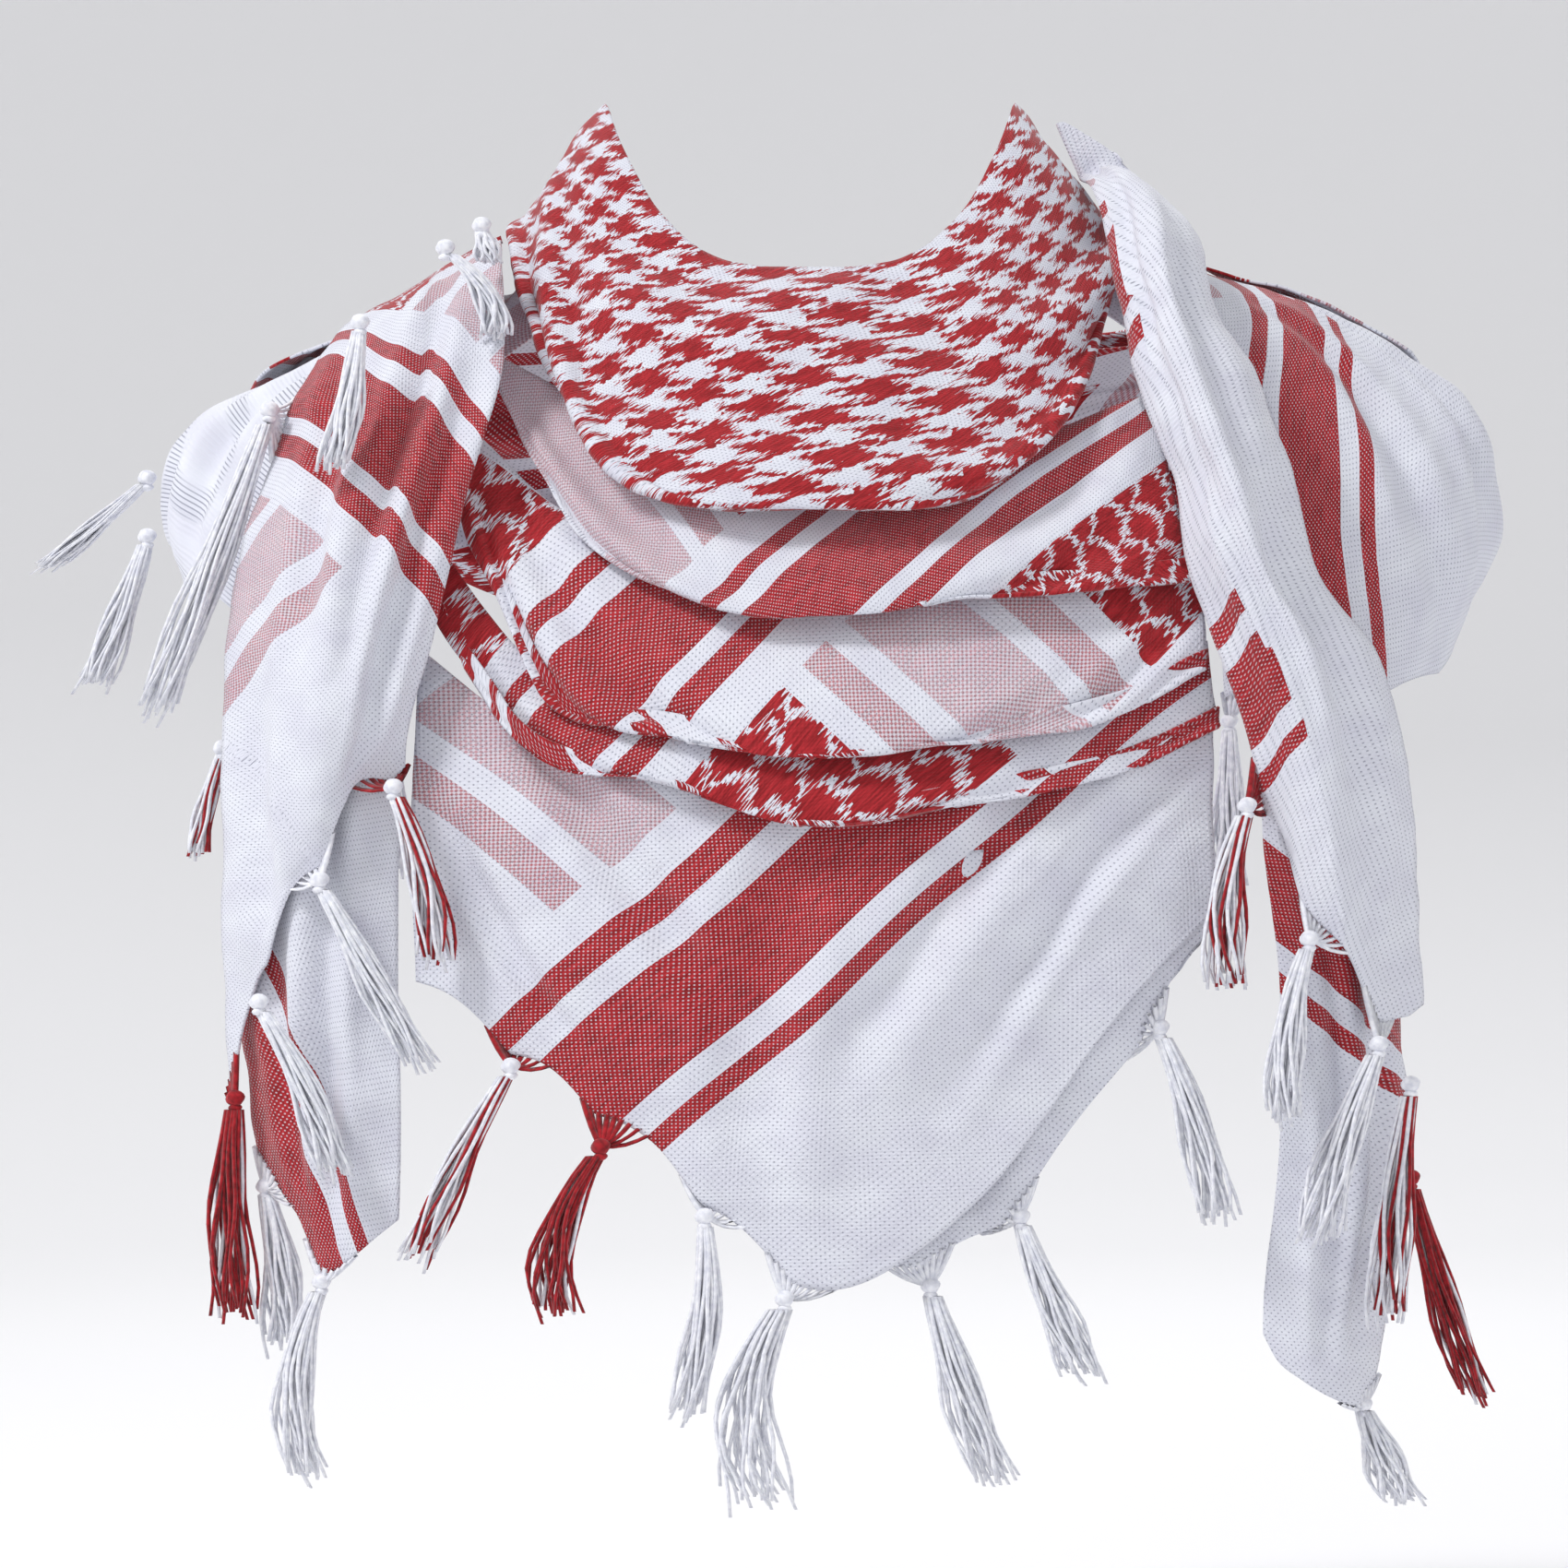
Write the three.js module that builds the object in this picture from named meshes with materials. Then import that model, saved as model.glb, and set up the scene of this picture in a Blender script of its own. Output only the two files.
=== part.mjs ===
// Keffiyeh headscarf, 1.1 m square, folded to a triangle and worn bandana style.
// The triangle's point hangs in front in cowl folds. Both ends go round the neck, cross on the
// nape and come forward over the shoulders, where they hang down each side.
// Millimetres, +Z up, the front faces -Y, and the origin is on the neck's axis, level with
// the top of the shoulders.
import * as THREE from 'three';

// ---- driving dimensions -------------------------------------------------------------------
const CLOTH = 2; // wall of every stretch of cloth
const CORNER = 2.4; // how square the figure's and the collar's plan is: 2 would be an ellipse
const SLOPE = 0.06; // one shoulder is higher than the other, by this much for each mm across
const LIFT = 0.6; // a layer that lies further out is also this much higher, for each mm
const TOP_EDGE_POWER = 3; // how sharply the neck opening rises to its side peaks
const BOTTOM_EDGE_POWER = 3.5; // the same for the collar's lower edge
const STATIONS = [0, 0.12, 0.3, 0.5, 0.7, 0.88, 1]; // where a panel's row states its heights
const PANEL_COLUMNS = 12; // facets across a panel
const PANEL_ROWS = 8; // facets down a panel
const RING_COLUMNS = 32; // facets round the neck
const RING_ROWS = 7; // facets down the neck wrap
const WRAP_STATIONS = [0, 0.25, 0.5, 0.75, 1]; // the same for a row that goes round the figure
const WRAP_COLUMNS = 14; // facets round a shoulder
const WRAP_ROWS = 6; // facets down a shoulder
const TASSEL_SIDES = 6;
const TASSEL_STEPS = 6; // lengths along a tassel, from its knot to its tip
const KNOT_RADIUS = 4.2;

const WHITE = '#e3e6ee';
const RED = '#af262b';
const MIXED = '#cf8f95';

// ---- small helpers ------------------------------------------------------------------------

/** Turns rows of numbers into objects, with the column names given in one string. */
function table(columns, rows) {
  const names = columns.split(' ');
  return rows.map((row) => Object.fromEntries(names.map((name, i) => [name, row[i]])));
}

/** Smooth curve through (at[i], values[i]), evaluated at t. */
function curve(at, values, t) {
  const last = at.length - 1;
  const x = Math.min(Math.max(t, at[0]), at[last]);
  let i = 0;
  while (i < last - 1 && x > at[i + 1]) {
    i += 1;
  }
  const slope = (k) => {
    const a = Math.max(k - 1, 0);
    const b = Math.min(k + 1, last);
    return (values[b] - values[a]) / (at[b] - at[a]);
  };
  const h = at[i + 1] - at[i];
  const u = (x - at[i]) / h;
  const ease = u * u * (3 - 2 * u);
  const start = u * (1 - u) * (1 - u) * h * slope(i);
  const end = u * u * (1 - u) * h * slope(i + 1);
  return values[i] + (values[i + 1] - values[i]) * ease + start - end;
}

/** Numbers 0, 1, 2 ... count - 1. */
const range = (count) => Array.from({ length: count }, (_, i) => i);

/** A table read as smooth functions: the value of a column at v, from 0 on the first row. */
function column(rows, name, v) {
  const at = range(rows.length);
  return curve(at, rows.map((row) => row[name]), v * (rows.length - 1));
}

/** Signed power, for superellipses. */
const power = (value, exponent) => Math.sign(value) * Math.abs(value) ** exponent;

// ---- the general figure that the cloth lies on -------------------------------------------
// Half width, and reach in front and behind, at each height. It is not built.
const FIGURE = table('z half front back', [
  [-700, 230, 105, 98],
  [-400, 238, 112, 104],
  [-250, 242, 118, 114],
  [-150, 244, 116, 120],
  [-80, 242, 107, 118],
  [-35, 236, 95, 112],
  [0, 222, 82, 106],
  [20, 203, 74, 100],
  [33, 180, 69, 97],
  [42, 158, 66, 94],
  [55, 130, 61, 88],
  [66, 104, 59, 82],
  [78, 74, 57, 74],
  [110, 61, 56, 64],
  [200, 60, 56, 62],
]);
const FIGURE_HEIGHTS = FIGURE.map((row) => row.z);

/** One of the figure's sizes at a height, with the cloth's distance off the figure added. */
function figure(name, x, z, off) {
  const height = z - SLOPE * x - LIFT * off;
  return curve(FIGURE_HEIGHTS, FIGURE.map((row) => row[name]), height) + off;
}

/** The point of a layer in front of the figure, at x and z as seen from the front. */
function inFront(x, z, off) {
  const across = Math.min(Math.abs(x) / figure('half', x, z, off), 1);
  const y = -figure('front', x, z, off) * (1 - across ** CORNER) ** (1 / CORNER);
  return new THREE.Vector3(x, y, z);
}

/** The point of a layer at an angle round the figure: 0 is the front, 90 the +X side. */
function around(degrees, z, off) {
  const angle = THREE.MathUtils.degToRad(degrees);
  const sideways = power(Math.sin(angle), 2 / CORNER);
  const forwards = power(Math.cos(angle), 2 / CORNER);
  let x = 0;
  for (let step = 0; step < 3; step += 1) {
    x = figure('half', x, z, off) * sideways;
  }
  const reach = forwards > 0 ? 'front' : 'back';
  return new THREE.Vector3(x, -figure(reach, x, z, off) * forwards, z);
}

// ---- cloth walls --------------------------------------------------------------------------

/** A closed wall whose outer face runs through point(u, v), with u across and v down. */
function wall(point, columns, rows, closed) {
  const across = closed ? columns : columns + 1;
  const at = (i, j) => point(i / columns, j / rows);
  const outer = [];
  const inner = [];
  const nudge = 1e-3;
  for (let j = 0; j <= rows; j += 1) {
    for (let i = 0; i < across; i += 1) {
      const u = i / columns;
      const v = j / rows;
      const here = at(i, j);
      const v0 = Math.max(v - nudge, 0);
      const v1 = Math.min(v + nudge, 1);
      const u0 = closed ? u - nudge : Math.max(u - nudge, 0);
      const u1 = closed ? u + nudge : Math.min(u + nudge, 1);
      const rightward = point(u1, v).sub(point(u0, v));
      const downward = point(u, v1).sub(point(u, v0));
      const normal = downward.cross(rightward).normalize();
      outer.push(here);
      inner.push(here.clone().addScaledVector(normal, -CLOTH));
    }
  }
  const points = [...outer, ...inner];
  const back = outer.length;
  const index = (i, j) => j * across + (i % across);
  const faces = [];
  const quad = (a, b, c, d) => faces.push(a, b, c, a, c, d);
  for (let j = 0; j < rows; j += 1) {
    for (let i = 0; i < columns; i += 1) {
      const [a, b, c, d] = [index(i, j), index(i, j + 1), index(i + 1, j + 1), index(i + 1, j)];
      quad(a, b, c, d);
      quad(back + a, back + d, back + c, back + b);
    }
  }
  for (let i = 0; i < columns; i += 1) {
    const [a, b] = [index(i, 0), index(i + 1, 0)];
    const [c, d] = [index(i, rows), index(i + 1, rows)];
    quad(a, b, back + b, back + a);
    quad(d, c, back + c, back + d);
  }
  for (let j = 0; j < rows && !closed; j += 1) {
    const [a, b] = [index(0, j), index(0, j + 1)];
    const [c, d] = [index(columns, j), index(columns, j + 1)];
    quad(b, a, back + a, back + b);
    quad(c, d, back + d, back + c);
  }
  return solid(points, faces);
}

/** A geometry from points and triangles. */
function solid(points, faces) {
  const geometry = new THREE.BufferGeometry();
  geometry.setFromPoints(points);
  geometry.setIndex(faces);
  geometry.computeVertexNormals();
  return geometry;
}

/** A named piece, in its own matt finish. */
function piece(name, geometry, colour) {
  const material = new THREE.MeshStandardMaterial({ color: colour, roughness: 0.9, metalness: 0 });
  const mesh = new THREE.Mesh(geometry, material);
  mesh.name = name;
  return mesh;
}

/** A stretch of cloth seen from the front, from rows that run from its left to its right. */
function panel(name, rows) {
  const heights = ['z0', 'z12', 'z30', 'z50', 'z70', 'z88', 'z100'];
  const point = (u, v) => {
    const left = column(rows, 'left', v);
    const right = column(rows, 'right', v);
    const z = curve(STATIONS, heights.map((height) => column(rows, height, v)), u);
    const off = curve([0, 0.5, 1], ['d0', 'd50', 'd100'].map((d) => column(rows, d, v)), u);
    return inFront(left + (right - left) * u, z, off);
  };
  return piece(name, wall(point, PANEL_COLUMNS, PANEL_ROWS, false), WHITE);
}

/** A stretch of cloth that goes round the figure's side or back, from angle to angle. */
function wrap(name, rows) {
  const point = (u, v) => {
    const degrees = column(rows, 'from', v) + (column(rows, 'to', v) - column(rows, 'from', v)) * u;
    const heights = ['z0', 'z25', 'z50', 'z75', 'z100'];
    const layers = ['d0', 'd25', 'd50', 'd75', 'd100'];
    const z = curve(WRAP_STATIONS, heights.map((name_) => column(rows, name_, v)), u);
    const off = curve(WRAP_STATIONS, layers.map((name_) => column(rows, name_, v)), u);
    return around(degrees, z, off);
  };
  return piece(name, wall(point, WRAP_COLUMNS, WRAP_ROWS, false), WHITE);
}

// ---- the neck wrap ------------------------------------------------------------------------
// Rings from the neck opening down to the fold at its foot, then a little way back inside.
// The edge power changes from the top edge's to the foot's.
const NECK_RINGS = table('front side back left right fore aft', [
  [51, 121, 46, 80, 80, 78, 92],
  [40, 112, 38, 88, 88, 88, 98],
  [14, 98, 26, 97, 98, 106, 106],
  [-16, 84, 14, 106, 109, 122, 112],
  [-38, 72, 4, 115, 120, 132, 116],
  [-44, 68, 0, 117, 123, 132, 117],
  [-40, 70, 4, 114, 120, 124, 112],
]);

/** A point of the neck wrap, u round it from the back through the left side, v down it. */
function neckPoint(u, v) {
  const angle = Math.PI * (1 - 2 * u);
  const sine = Math.sin(angle);
  const cosine = Math.cos(angle);
  const get = (name) => column(NECK_RINGS, name, v);
  const edge = TOP_EDGE_POWER + (BOTTOM_EDGE_POWER - TOP_EDGE_POWER) * v;
  const middle = cosine > 0 ? get('front') : get('back');
  const z = middle + (get('side') - middle) * Math.abs(sine) ** edge;
  const x = (sine > 0 ? get('right') : get('left')) * power(sine, 2 / CORNER);
  const y = -(cosine > 0 ? get('fore') : get('aft')) * power(cosine, 2 / CORNER);
  return new THREE.Vector3(x, y, z);
}

// ---- the cowl folds and the point in front -----------------------------------------------
// Each fold starts behind the one above it, swells to its hanging ridge and turns back under.
const PANEL_TABLE = 'left right z0 z12 z30 z50 z70 z88 z100 d0 d50 d100';
const UPPER_FOLD = table(PANEL_TABLE, [
  [-121, 126, 18, 2, -17, -29, -25, -10, 2, 2, 6, 3],
  [-121, 134, 10, -20, -40, -52, -47, -32, -18, 4, 16, 8],
  [-119, 141, 4, -40, -66, -72, -66, -56, -50, 6, 24, 11],
  [-118, 145, 0, -53, -81, -84, -77, -73, -70, 6, 25, 11],
  [-117, 145, 2, -49, -75, -78, -71, -67, -64, 2, 18, 7],
]);
const MIDDLE_FOLD = table(PANEL_TABLE, [
  [-132, 147, -8, -40, -64, -70, -65, -60, -56, 1, 5, 1],
  [-134, 149, -18, -66, -92, -98, -92, -84, -76, 4, 18, 4],
  [-135, 150, -32, -94, -120, -124, -118, -106, -92, 7, 28, 8],
  [-134, 150, -45, -114, -131, -138, -132, -121, -104, 7, 29, 8],
  [-133, 150, -41, -108, -124, -131, -125, -114, -98, 2, 22, 4],
]);
const LOWER_FOLD = table(PANEL_TABLE, [
  [-143, 151, -54, -98, -114, -120, -116, -106, -92, 1, 10, 1],
  [-145, 153, -66, -118, -134, -144, -138, -126, -112, 4, 22, 4],
  [-145, 155, -80, -133, -148, -164, -154, -142, -125, 6, 25, 6],
  [-144, 154, -76, -127, -141, -156, -147, -135, -119, 3, 19, 3],
]);
const FRONT_FLAP = table(PANEL_TABLE, [
  [-148, 153, -96, -122, -132, -146, -138, -126, -112, 0, 10, 0],
  [-150, 153, -120, -144, -160, -178, -168, -150, -134, 2, 16, 3],
  [-151, 153, -156, -182, -206, -232, -216, -180, -160, 4, 19, 6],
  [-151, 153, -192, -218, -250, -288, -262, -208, -180, 4, 15, 6],
  [-150, 152, -222, -249, -288, -337, -305, -234, -196, 4, 12, 6],
]);
const UNDER_FLAP = table(PANEL_TABLE, [
  [-40, 151, -168, -170, -172, -172, -168, -160, -150, 7, 7, 1],
  [-35, 153, -220, -226, -230, -226, -214, -192, -176, 7, 7, 1],
  [-30, 155, -262, -278, -292, -282, -254, -216, -190, 4, 5, 1],
  [-30, 156, -286, -306, -328, -322, -280, -232, -198, 2, 3, 1],
]);

// ---- the two hanging ends ------------------------------------------------------------------
const LEFT_TAIL_FRONT = table(PANEL_TABLE, [
  [-192, -122, 20, 30, 38, 46, 58, 66, 70, 12, 16, 14],
  [-200, -119, 0, 9, 18, 29, 41, 49, 53, 14, 22, 20],
  [-212, -117, -36, -30, -20, -8, 4, 10, 12, 16, 32, 24],
  [-222, -130, -76, -72, -64, -56, -48, -42, -38, 16, 36, 22],
  [-225, -141, -126, -122, -115, -106, -96, -90, -86, 16, 38, 18],
  [-226, -148, -172, -166, -156, -144, -130, -120, -112, 16, 36, 16],
  [-225, -152, -222, -206, -186, -168, -148, -136, -128, 14, 32, 14],
  [-223, -153, -266, -239, -206, -184, -160, -149, -141, 12, 28, 14],
]);
const LEFT_TAIL_BACK = table(PANEL_TABLE, [
  [-214, -150, -70, -70, -68, -66, -64, -62, -60, 9, 20, 9],
  [-220, -155, -150, -150, -150, -150, -148, -146, -144, 8, 22, 8],
  [-221, -156, -218, -222, -224, -226, -224, -220, -216, 6, 20, 8],
  [-216, -155, -262, -268, -276, -284, -282, -274, -268, 4, 16, 8],
  [-213, -156, -288, -301, -316, -334, -330, -320, -312, 4, 12, 8],
]);
const RIGHT_TAIL_FRONT = table(PANEL_TABLE, [
  [97, 121, 114, 115, 113, 110, 107, 104, 101, 18, 24, 16],
  [109, 150, 84, 85, 84, 82, 78, 74, 69, 20, 34, 16],
  [116, 155, 46, 46, 46, 45, 43, 40, 36, 20, 40, 20],
  [124, 170, 2, 3, 5, 8, 10, 11, 11, 20, 42, 20],
  [137, 183, -32, -31, -30, -29, -28, -28, -28, 18, 42, 20],
  [143, 194, -70, -69, -68, -67, -67, -67, -68, 16, 40, 18],
  [157, 218, -106, -104, -103, -101, -100, -100, -101, 16, 40, 18],
  [166, 229, -135, -137, -139, -140, -141, -141, -141, 16, 38, 16],
  [169, 234, -150, -160, -172, -180, -188, -190, -188, 16, 36, 14],
  [171, 236, -158, -176, -202, -219, -239, -243, -232, 14, 32, 12],
]);
const RIGHT_TAIL_BACK = table(PANEL_TABLE, [
  [174, 216, -112, -112, -112, -112, -112, -112, -112, 8, 22, 8],
  [171, 222, -162, -164, -166, -168, -168, -168, -168, 6, 22, 8],
  [178, 228, -224, -226, -228, -230, -230, -230, -230, 6, 20, 6],
  [178, 230, -286, -288, -292, -294, -294, -292, -290, 6, 18, 6],
  [173, 224, -332, -336, -342, -346, -346, -342, -338, 6, 16, 6],
  [172, 218, -356, -368, -376, -382, -385, -384, -376, 6, 14, 6],
]);

// ---- round the shoulders and the nape ------------------------------------------------------
const WRAP_TABLE = 'from to z0 z25 z50 z75 z100 d0 d25 d50 d75 d100';
const LEFT_UNDER_WRAP = table(WRAP_TABLE, [
  [-128, -38, 46, 54, 60, 62, 54, -8, -6, -4, -6, -8],
  [-128, -38, 34, 44, 50, 48, 30, -8, -6, -5, -6, -8],
  [-128, -38, 22, 34, 42, 34, 8, -8, -6, -5, -6, -8],
  [-128, -38, 6, 20, 30, 16, -14, -8, -6, -5, -6, -8],
]);
const RIGHT_UNDER_WRAP = table(WRAP_TABLE, [
  [38, 124, 56, 66, 66, 58, 48, -8, -4, -4, -6, -8],
  [38, 124, 32, 52, 54, 48, 36, -8, -6, -5, -6, -8],
  [38, 124, 8, 36, 44, 36, 22, -8, -6, -5, -6, -8],
  [38, 124, -18, 20, 34, 22, 8, -8, -6, -5, -6, -8],
]);
const LEFT_SHOULDER = table(WRAP_TABLE, [
  [-135, -60, 38, 46, 50, 50, 46, 0, 1, 2, 2, 2],
  [-135, -58, 26, 32, 34, 32, 24, 0, 1, 4, 3, 2],
  [-135, -58, 8, 14, 14, 8, 0, 0, 4, 9, 6, 2],
  [-136, -58, -16, -6, -4, -10, -24, 1, 10, 22, 10, 2],
  [-138, -58, -44, -28, -22, -30, -46, 1, 12, 26, 12, 2],
  [-140, -60, -74, -54, -46, -52, -64, 2, 12, 22, 10, 1],
  [-140, -62, -104, -80, -66, -72, -84, 3, 8, 10, 5, 1],
]);
const RIGHT_SHOULDER = table(WRAP_TABLE, [
  [46, 135, 50, 56, 58, 54, 42, 2, 2, 2, 1, 0],
  [46, 135, 26, 36, 42, 38, 30, 2, 3, 5, 2, 0],
  [46, 135, -2, 12, 22, 20, 10, 2, 6, 13, 5, 0],
  [46, 136, -30, -12, 4, -2, -16, 2, 12, 24, 11, 0],
  [46, 138, -60, -38, -20, -28, -44, 2, 14, 30, 14, 1],
  [50, 140, -90, -68, -50, -60, -78, 2, 14, 30, 13, 2],
  [56, 140, -120, -104, -86, -94, -112, 1, 6, 16, 9, 3],
]);
const NAPE_LEFT = table(WRAP_TABLE, [
  [128, 268, 38, 30, 32, 44, 56, 6, 10, 10, 10, 6],
  [128, 268, 30, 12, 12, 34, 48, 7, 14, 14, 13, 7],
  [130, 268, 22, -8, -14, 22, 39, 7, 15, 16, 16, 9],
  [132, 268, 14, -32, -44, 8, 29, 7, 14, 18, 22, 11],
  [134, 268, 6, -54, -74, -8, 19, 6, 12, 18, 28, 14],
]);
const NAPE_RIGHT = table(WRAP_TABLE, [
  [92, 232, 60, 48, 36, 32, 40, 6, 15, 20, 22, 24],
  [92, 232, 52, 36, 16, 12, 32, 8, 19, 26, 28, 28],
  [92, 230, 43, 22, -8, -10, 24, 10, 23, 29, 30, 30],
  [92, 228, 34, 8, -36, -32, 16, 13, 28, 31, 32, 30],
  [92, 226, 25, -10, -66, -52, 8, 17, 33, 32, 30, 28],
]);

// ---- the knotted fringe --------------------------------------------------------------------
// Each tassel starts at a knot on an edge. x, z and off place the knot; bend is how far the
// middle swings sideways and tip how far the end does; down is its drop and width its spread.
const TASSELS = table('name x z off bend tip down width colour', [
  ['left_neck', -139, 56, 46, 16, 18, 34, 6, WHITE],
  ['left_neck_short', -126, 66, 38, 2, 4, 14, 5, WHITE],
  ['left_nape', -170, 26, 56, -4, -10, 56, 6, WHITE],
  ['left_outer', -208, -4, 24, -22, -46, 120, 8, WHITE],
  ['left_arm_upper', -262, -27, 12, -20, -42, 36, 6, WHITE],
  ['left_arm_lower', -262, -50, 10, -10, -22, 60, 7, WHITE],
  ['left_side', -226, -134, 10, -6, -10, 42, 4, MIXED],
  ['left_front_1', -157, -149, 26, 12, 16, 68, 7, MIXED],
  ['left_front_2', -185, -184, 30, 20, 40, 72, 7, WHITE],
  ['left_front_3', -208, -230, 38, 18, 30, 66, 7, WHITE],
  ['left_corner', -220, -268, 16, -2, 0, 86, 9, RED],
  ['left_back_1', -209, -302, 5, 6, 8, 62, 8, WHITE],
  ['left_back_2', -186, -337, 12, -10, -4, 76, 8, WHITE],
  ['flap_1', -113, -254, 12, -20, -36, 74, 7, MIXED],
  ['flap_2', -79, -284, 14, -16, -16, 64, 9, RED],
  ['flap_3', -40, -310, 14, 0, -8, 76, 7, WHITE],
  ['flap_4', -10, -341, 14, -14, -8, 78, 13, WHITE],
  ['under_1', 45, -337, 2, 12, 26, 76, 9, WHITE],
  ['under_2', 79, -311, 2, 12, 26, 62, 8, WHITE],
  ['under_3', 132, -240, 1, 14, 22, 74, 8, WHITE],
  ['right_front_1', 164, -156, 24, -8, -6, 70, 8, MIXED],
  ['right_front_2', 187, -206, 36, -8, -8, 70, 7, WHITE],
  ['right_front_3', 214, -246, 40, -14, -24, 76, 9, WHITE],
  ['right_side_1', 228, -262, 32, -6, -8, 92, 8, MIXED],
  ['right_side_2', 232, -300, 8, 12, 28, 88, 7, RED],
  ['right_back', 212, -386, 8, 8, 16, 38, 9, WHITE],
  ['nape_left', -150, -118, 6, 0, 0, 70, 7, WHITE],
  ['nape_right', 150, -122, 6, 0, 0, 70, 7, WHITE],
]);
// Radius along a tassel: the knot, its neck, then the loose threads, as shares of its width.
const TASSEL_PROFILE = [0.35, 1, 0.55, 0.75, 0.95, 1, 0.8];

/** A tapered, six sided solid for the reach of one tassel. */
function tassel(row) {
  const top = row.name.startsWith('nape') ? around(Math.sign(row.x) * 140, row.z, row.off)
    : inFront(row.x, row.z, row.off);
  const place = (sideways, share) => new THREE.Vector3(top.x + sideways, top.y, top.z - row.down * share);
  const path = new THREE.CatmullRomCurve3([top, place(row.bend, 0.5), place(row.tip, 1)]);
  const points = [];
  for (let step = 0; step <= TASSEL_STEPS; step += 1) {
    const centre = path.getPoint(step / TASSEL_STEPS);
    const along = path.getTangent(step / TASSEL_STEPS);
    const sideways = new THREE.Vector3(0, -1, 0).cross(along).normalize();
    const outward = along.clone().cross(sideways).normalize();
    const radius = TASSEL_PROFILE[step] * (step < 2 ? KNOT_RADIUS : row.width);
    for (let side = 0; side < TASSEL_SIDES; side += 1) {
      const angle = (2 * Math.PI * side) / TASSEL_SIDES;
      const rim = centre.clone().addScaledVector(sideways, radius * Math.cos(angle));
      points.push(rim.addScaledVector(outward, radius * 0.7 * Math.sin(angle)));
    }
  }
  const faces = [];
  for (let step = 0; step < TASSEL_STEPS; step += 1) {
    for (let side = 0; side < TASSEL_SIDES; side += 1) {
      const a = step * TASSEL_SIDES + side;
      const b = step * TASSEL_SIDES + ((side + 1) % TASSEL_SIDES);
      faces.push(a, b, b + TASSEL_SIDES, a, b + TASSEL_SIDES, a + TASSEL_SIDES);
    }
  }
  const last = TASSEL_STEPS * TASSEL_SIDES;
  for (let side = 1; side < TASSEL_SIDES - 1; side += 1) {
    faces.push(0, side + 1, side);
    faces.push(last, last + side, last + side + 1);
  }
  return piece(`tassel_${row.name}`, solid(points, faces), row.colour);
}

// ---- the whole scarf -----------------------------------------------------------------------
const keffiyeh = new THREE.Group();
keffiyeh.add(piece('neck_wrap', wall(neckPoint, RING_COLUMNS, RING_ROWS, true), WHITE));
keffiyeh.add(panel('upper_fold', UPPER_FOLD));
keffiyeh.add(panel('middle_fold', MIDDLE_FOLD));
keffiyeh.add(panel('lower_fold', LOWER_FOLD));
keffiyeh.add(panel('front_flap', FRONT_FLAP));
keffiyeh.add(panel('under_flap', UNDER_FLAP));
keffiyeh.add(panel('left_tail_front', LEFT_TAIL_FRONT));
keffiyeh.add(panel('left_tail_back', LEFT_TAIL_BACK));
keffiyeh.add(panel('right_tail_front', RIGHT_TAIL_FRONT));
keffiyeh.add(panel('right_tail_back', RIGHT_TAIL_BACK));
keffiyeh.add(wrap('left_under_wrap', LEFT_UNDER_WRAP));
keffiyeh.add(wrap('right_under_wrap', RIGHT_UNDER_WRAP));
keffiyeh.add(wrap('left_shoulder', LEFT_SHOULDER));
keffiyeh.add(wrap('right_shoulder', RIGHT_SHOULDER));
keffiyeh.add(wrap('nape_left', NAPE_LEFT));
keffiyeh.add(wrap('nape_right', NAPE_RIGHT));
TASSELS.forEach((row) => keffiyeh.add(tassel(row)));

export default keffiyeh;
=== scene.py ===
"""Looks of a worn keffiyeh headscarf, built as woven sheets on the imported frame.

A cotton square, red on white, is folded to a triangle and worn with its point in front. Each
stretch of cloth that shows is one sheet. Its section tables are in millimetres, as in the part,
and seen from the front; the meshes are made in metres.
"""

import logging
import math
from dataclasses import dataclass, field
from enum import Enum

import bmesh
import bpy
import numpy as np
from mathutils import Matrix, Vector, noise


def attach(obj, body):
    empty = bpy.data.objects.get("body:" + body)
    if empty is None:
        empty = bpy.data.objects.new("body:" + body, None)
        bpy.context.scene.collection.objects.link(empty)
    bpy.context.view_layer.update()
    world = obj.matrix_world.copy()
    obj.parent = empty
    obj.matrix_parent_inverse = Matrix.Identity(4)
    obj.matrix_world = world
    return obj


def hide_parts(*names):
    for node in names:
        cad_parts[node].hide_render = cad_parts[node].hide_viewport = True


Socket = bpy.types.NodeSocket
Tree = bpy.types.NodeTree

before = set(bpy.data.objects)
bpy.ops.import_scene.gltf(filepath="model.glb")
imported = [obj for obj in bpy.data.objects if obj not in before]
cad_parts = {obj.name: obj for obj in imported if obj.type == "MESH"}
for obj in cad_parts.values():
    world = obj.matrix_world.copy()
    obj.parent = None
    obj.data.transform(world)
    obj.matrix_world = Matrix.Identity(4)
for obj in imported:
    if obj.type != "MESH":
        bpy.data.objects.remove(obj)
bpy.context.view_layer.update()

LOG = logging.getLogger("keffiyeh")
MM = 0.001
BODY = "root"
CORNER = 2.4          # how square the figure's and the collar's plan is
SLOPE = 0.06          # one shoulder is higher than the other
LIFT = 0.6            # a layer that lies further out is also this much higher
GRID_STEP = 2.7       # mm between the vertices of a sheet
CLOTH_WALL = 1.1      # mm, one or two layers of cotton with their nap
TOP_EDGE_POWER = 3.0  # how sharply the neck wrap's top edge rises beside the neck
EDGE_POWER_GAIN = 0.5  # and how much sharper its lower edge does
FOLD_LENGTH = 34.0    # mm, the size of the soft ripple
WRINKLE_LENGTH = 11.0  # mm, the size of the small wrinkles on it
WRINKLE_SHARE = 0.25  # how deep the wrinkles are beside the ripple
ROLL_REACH = 9.0      # mm of a fold's lower edge that rolls under
HEM_RIDGE = 1.3       # mm, the height of the folded-over hem
HEM_WIDTH = 1.6       # mm
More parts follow.
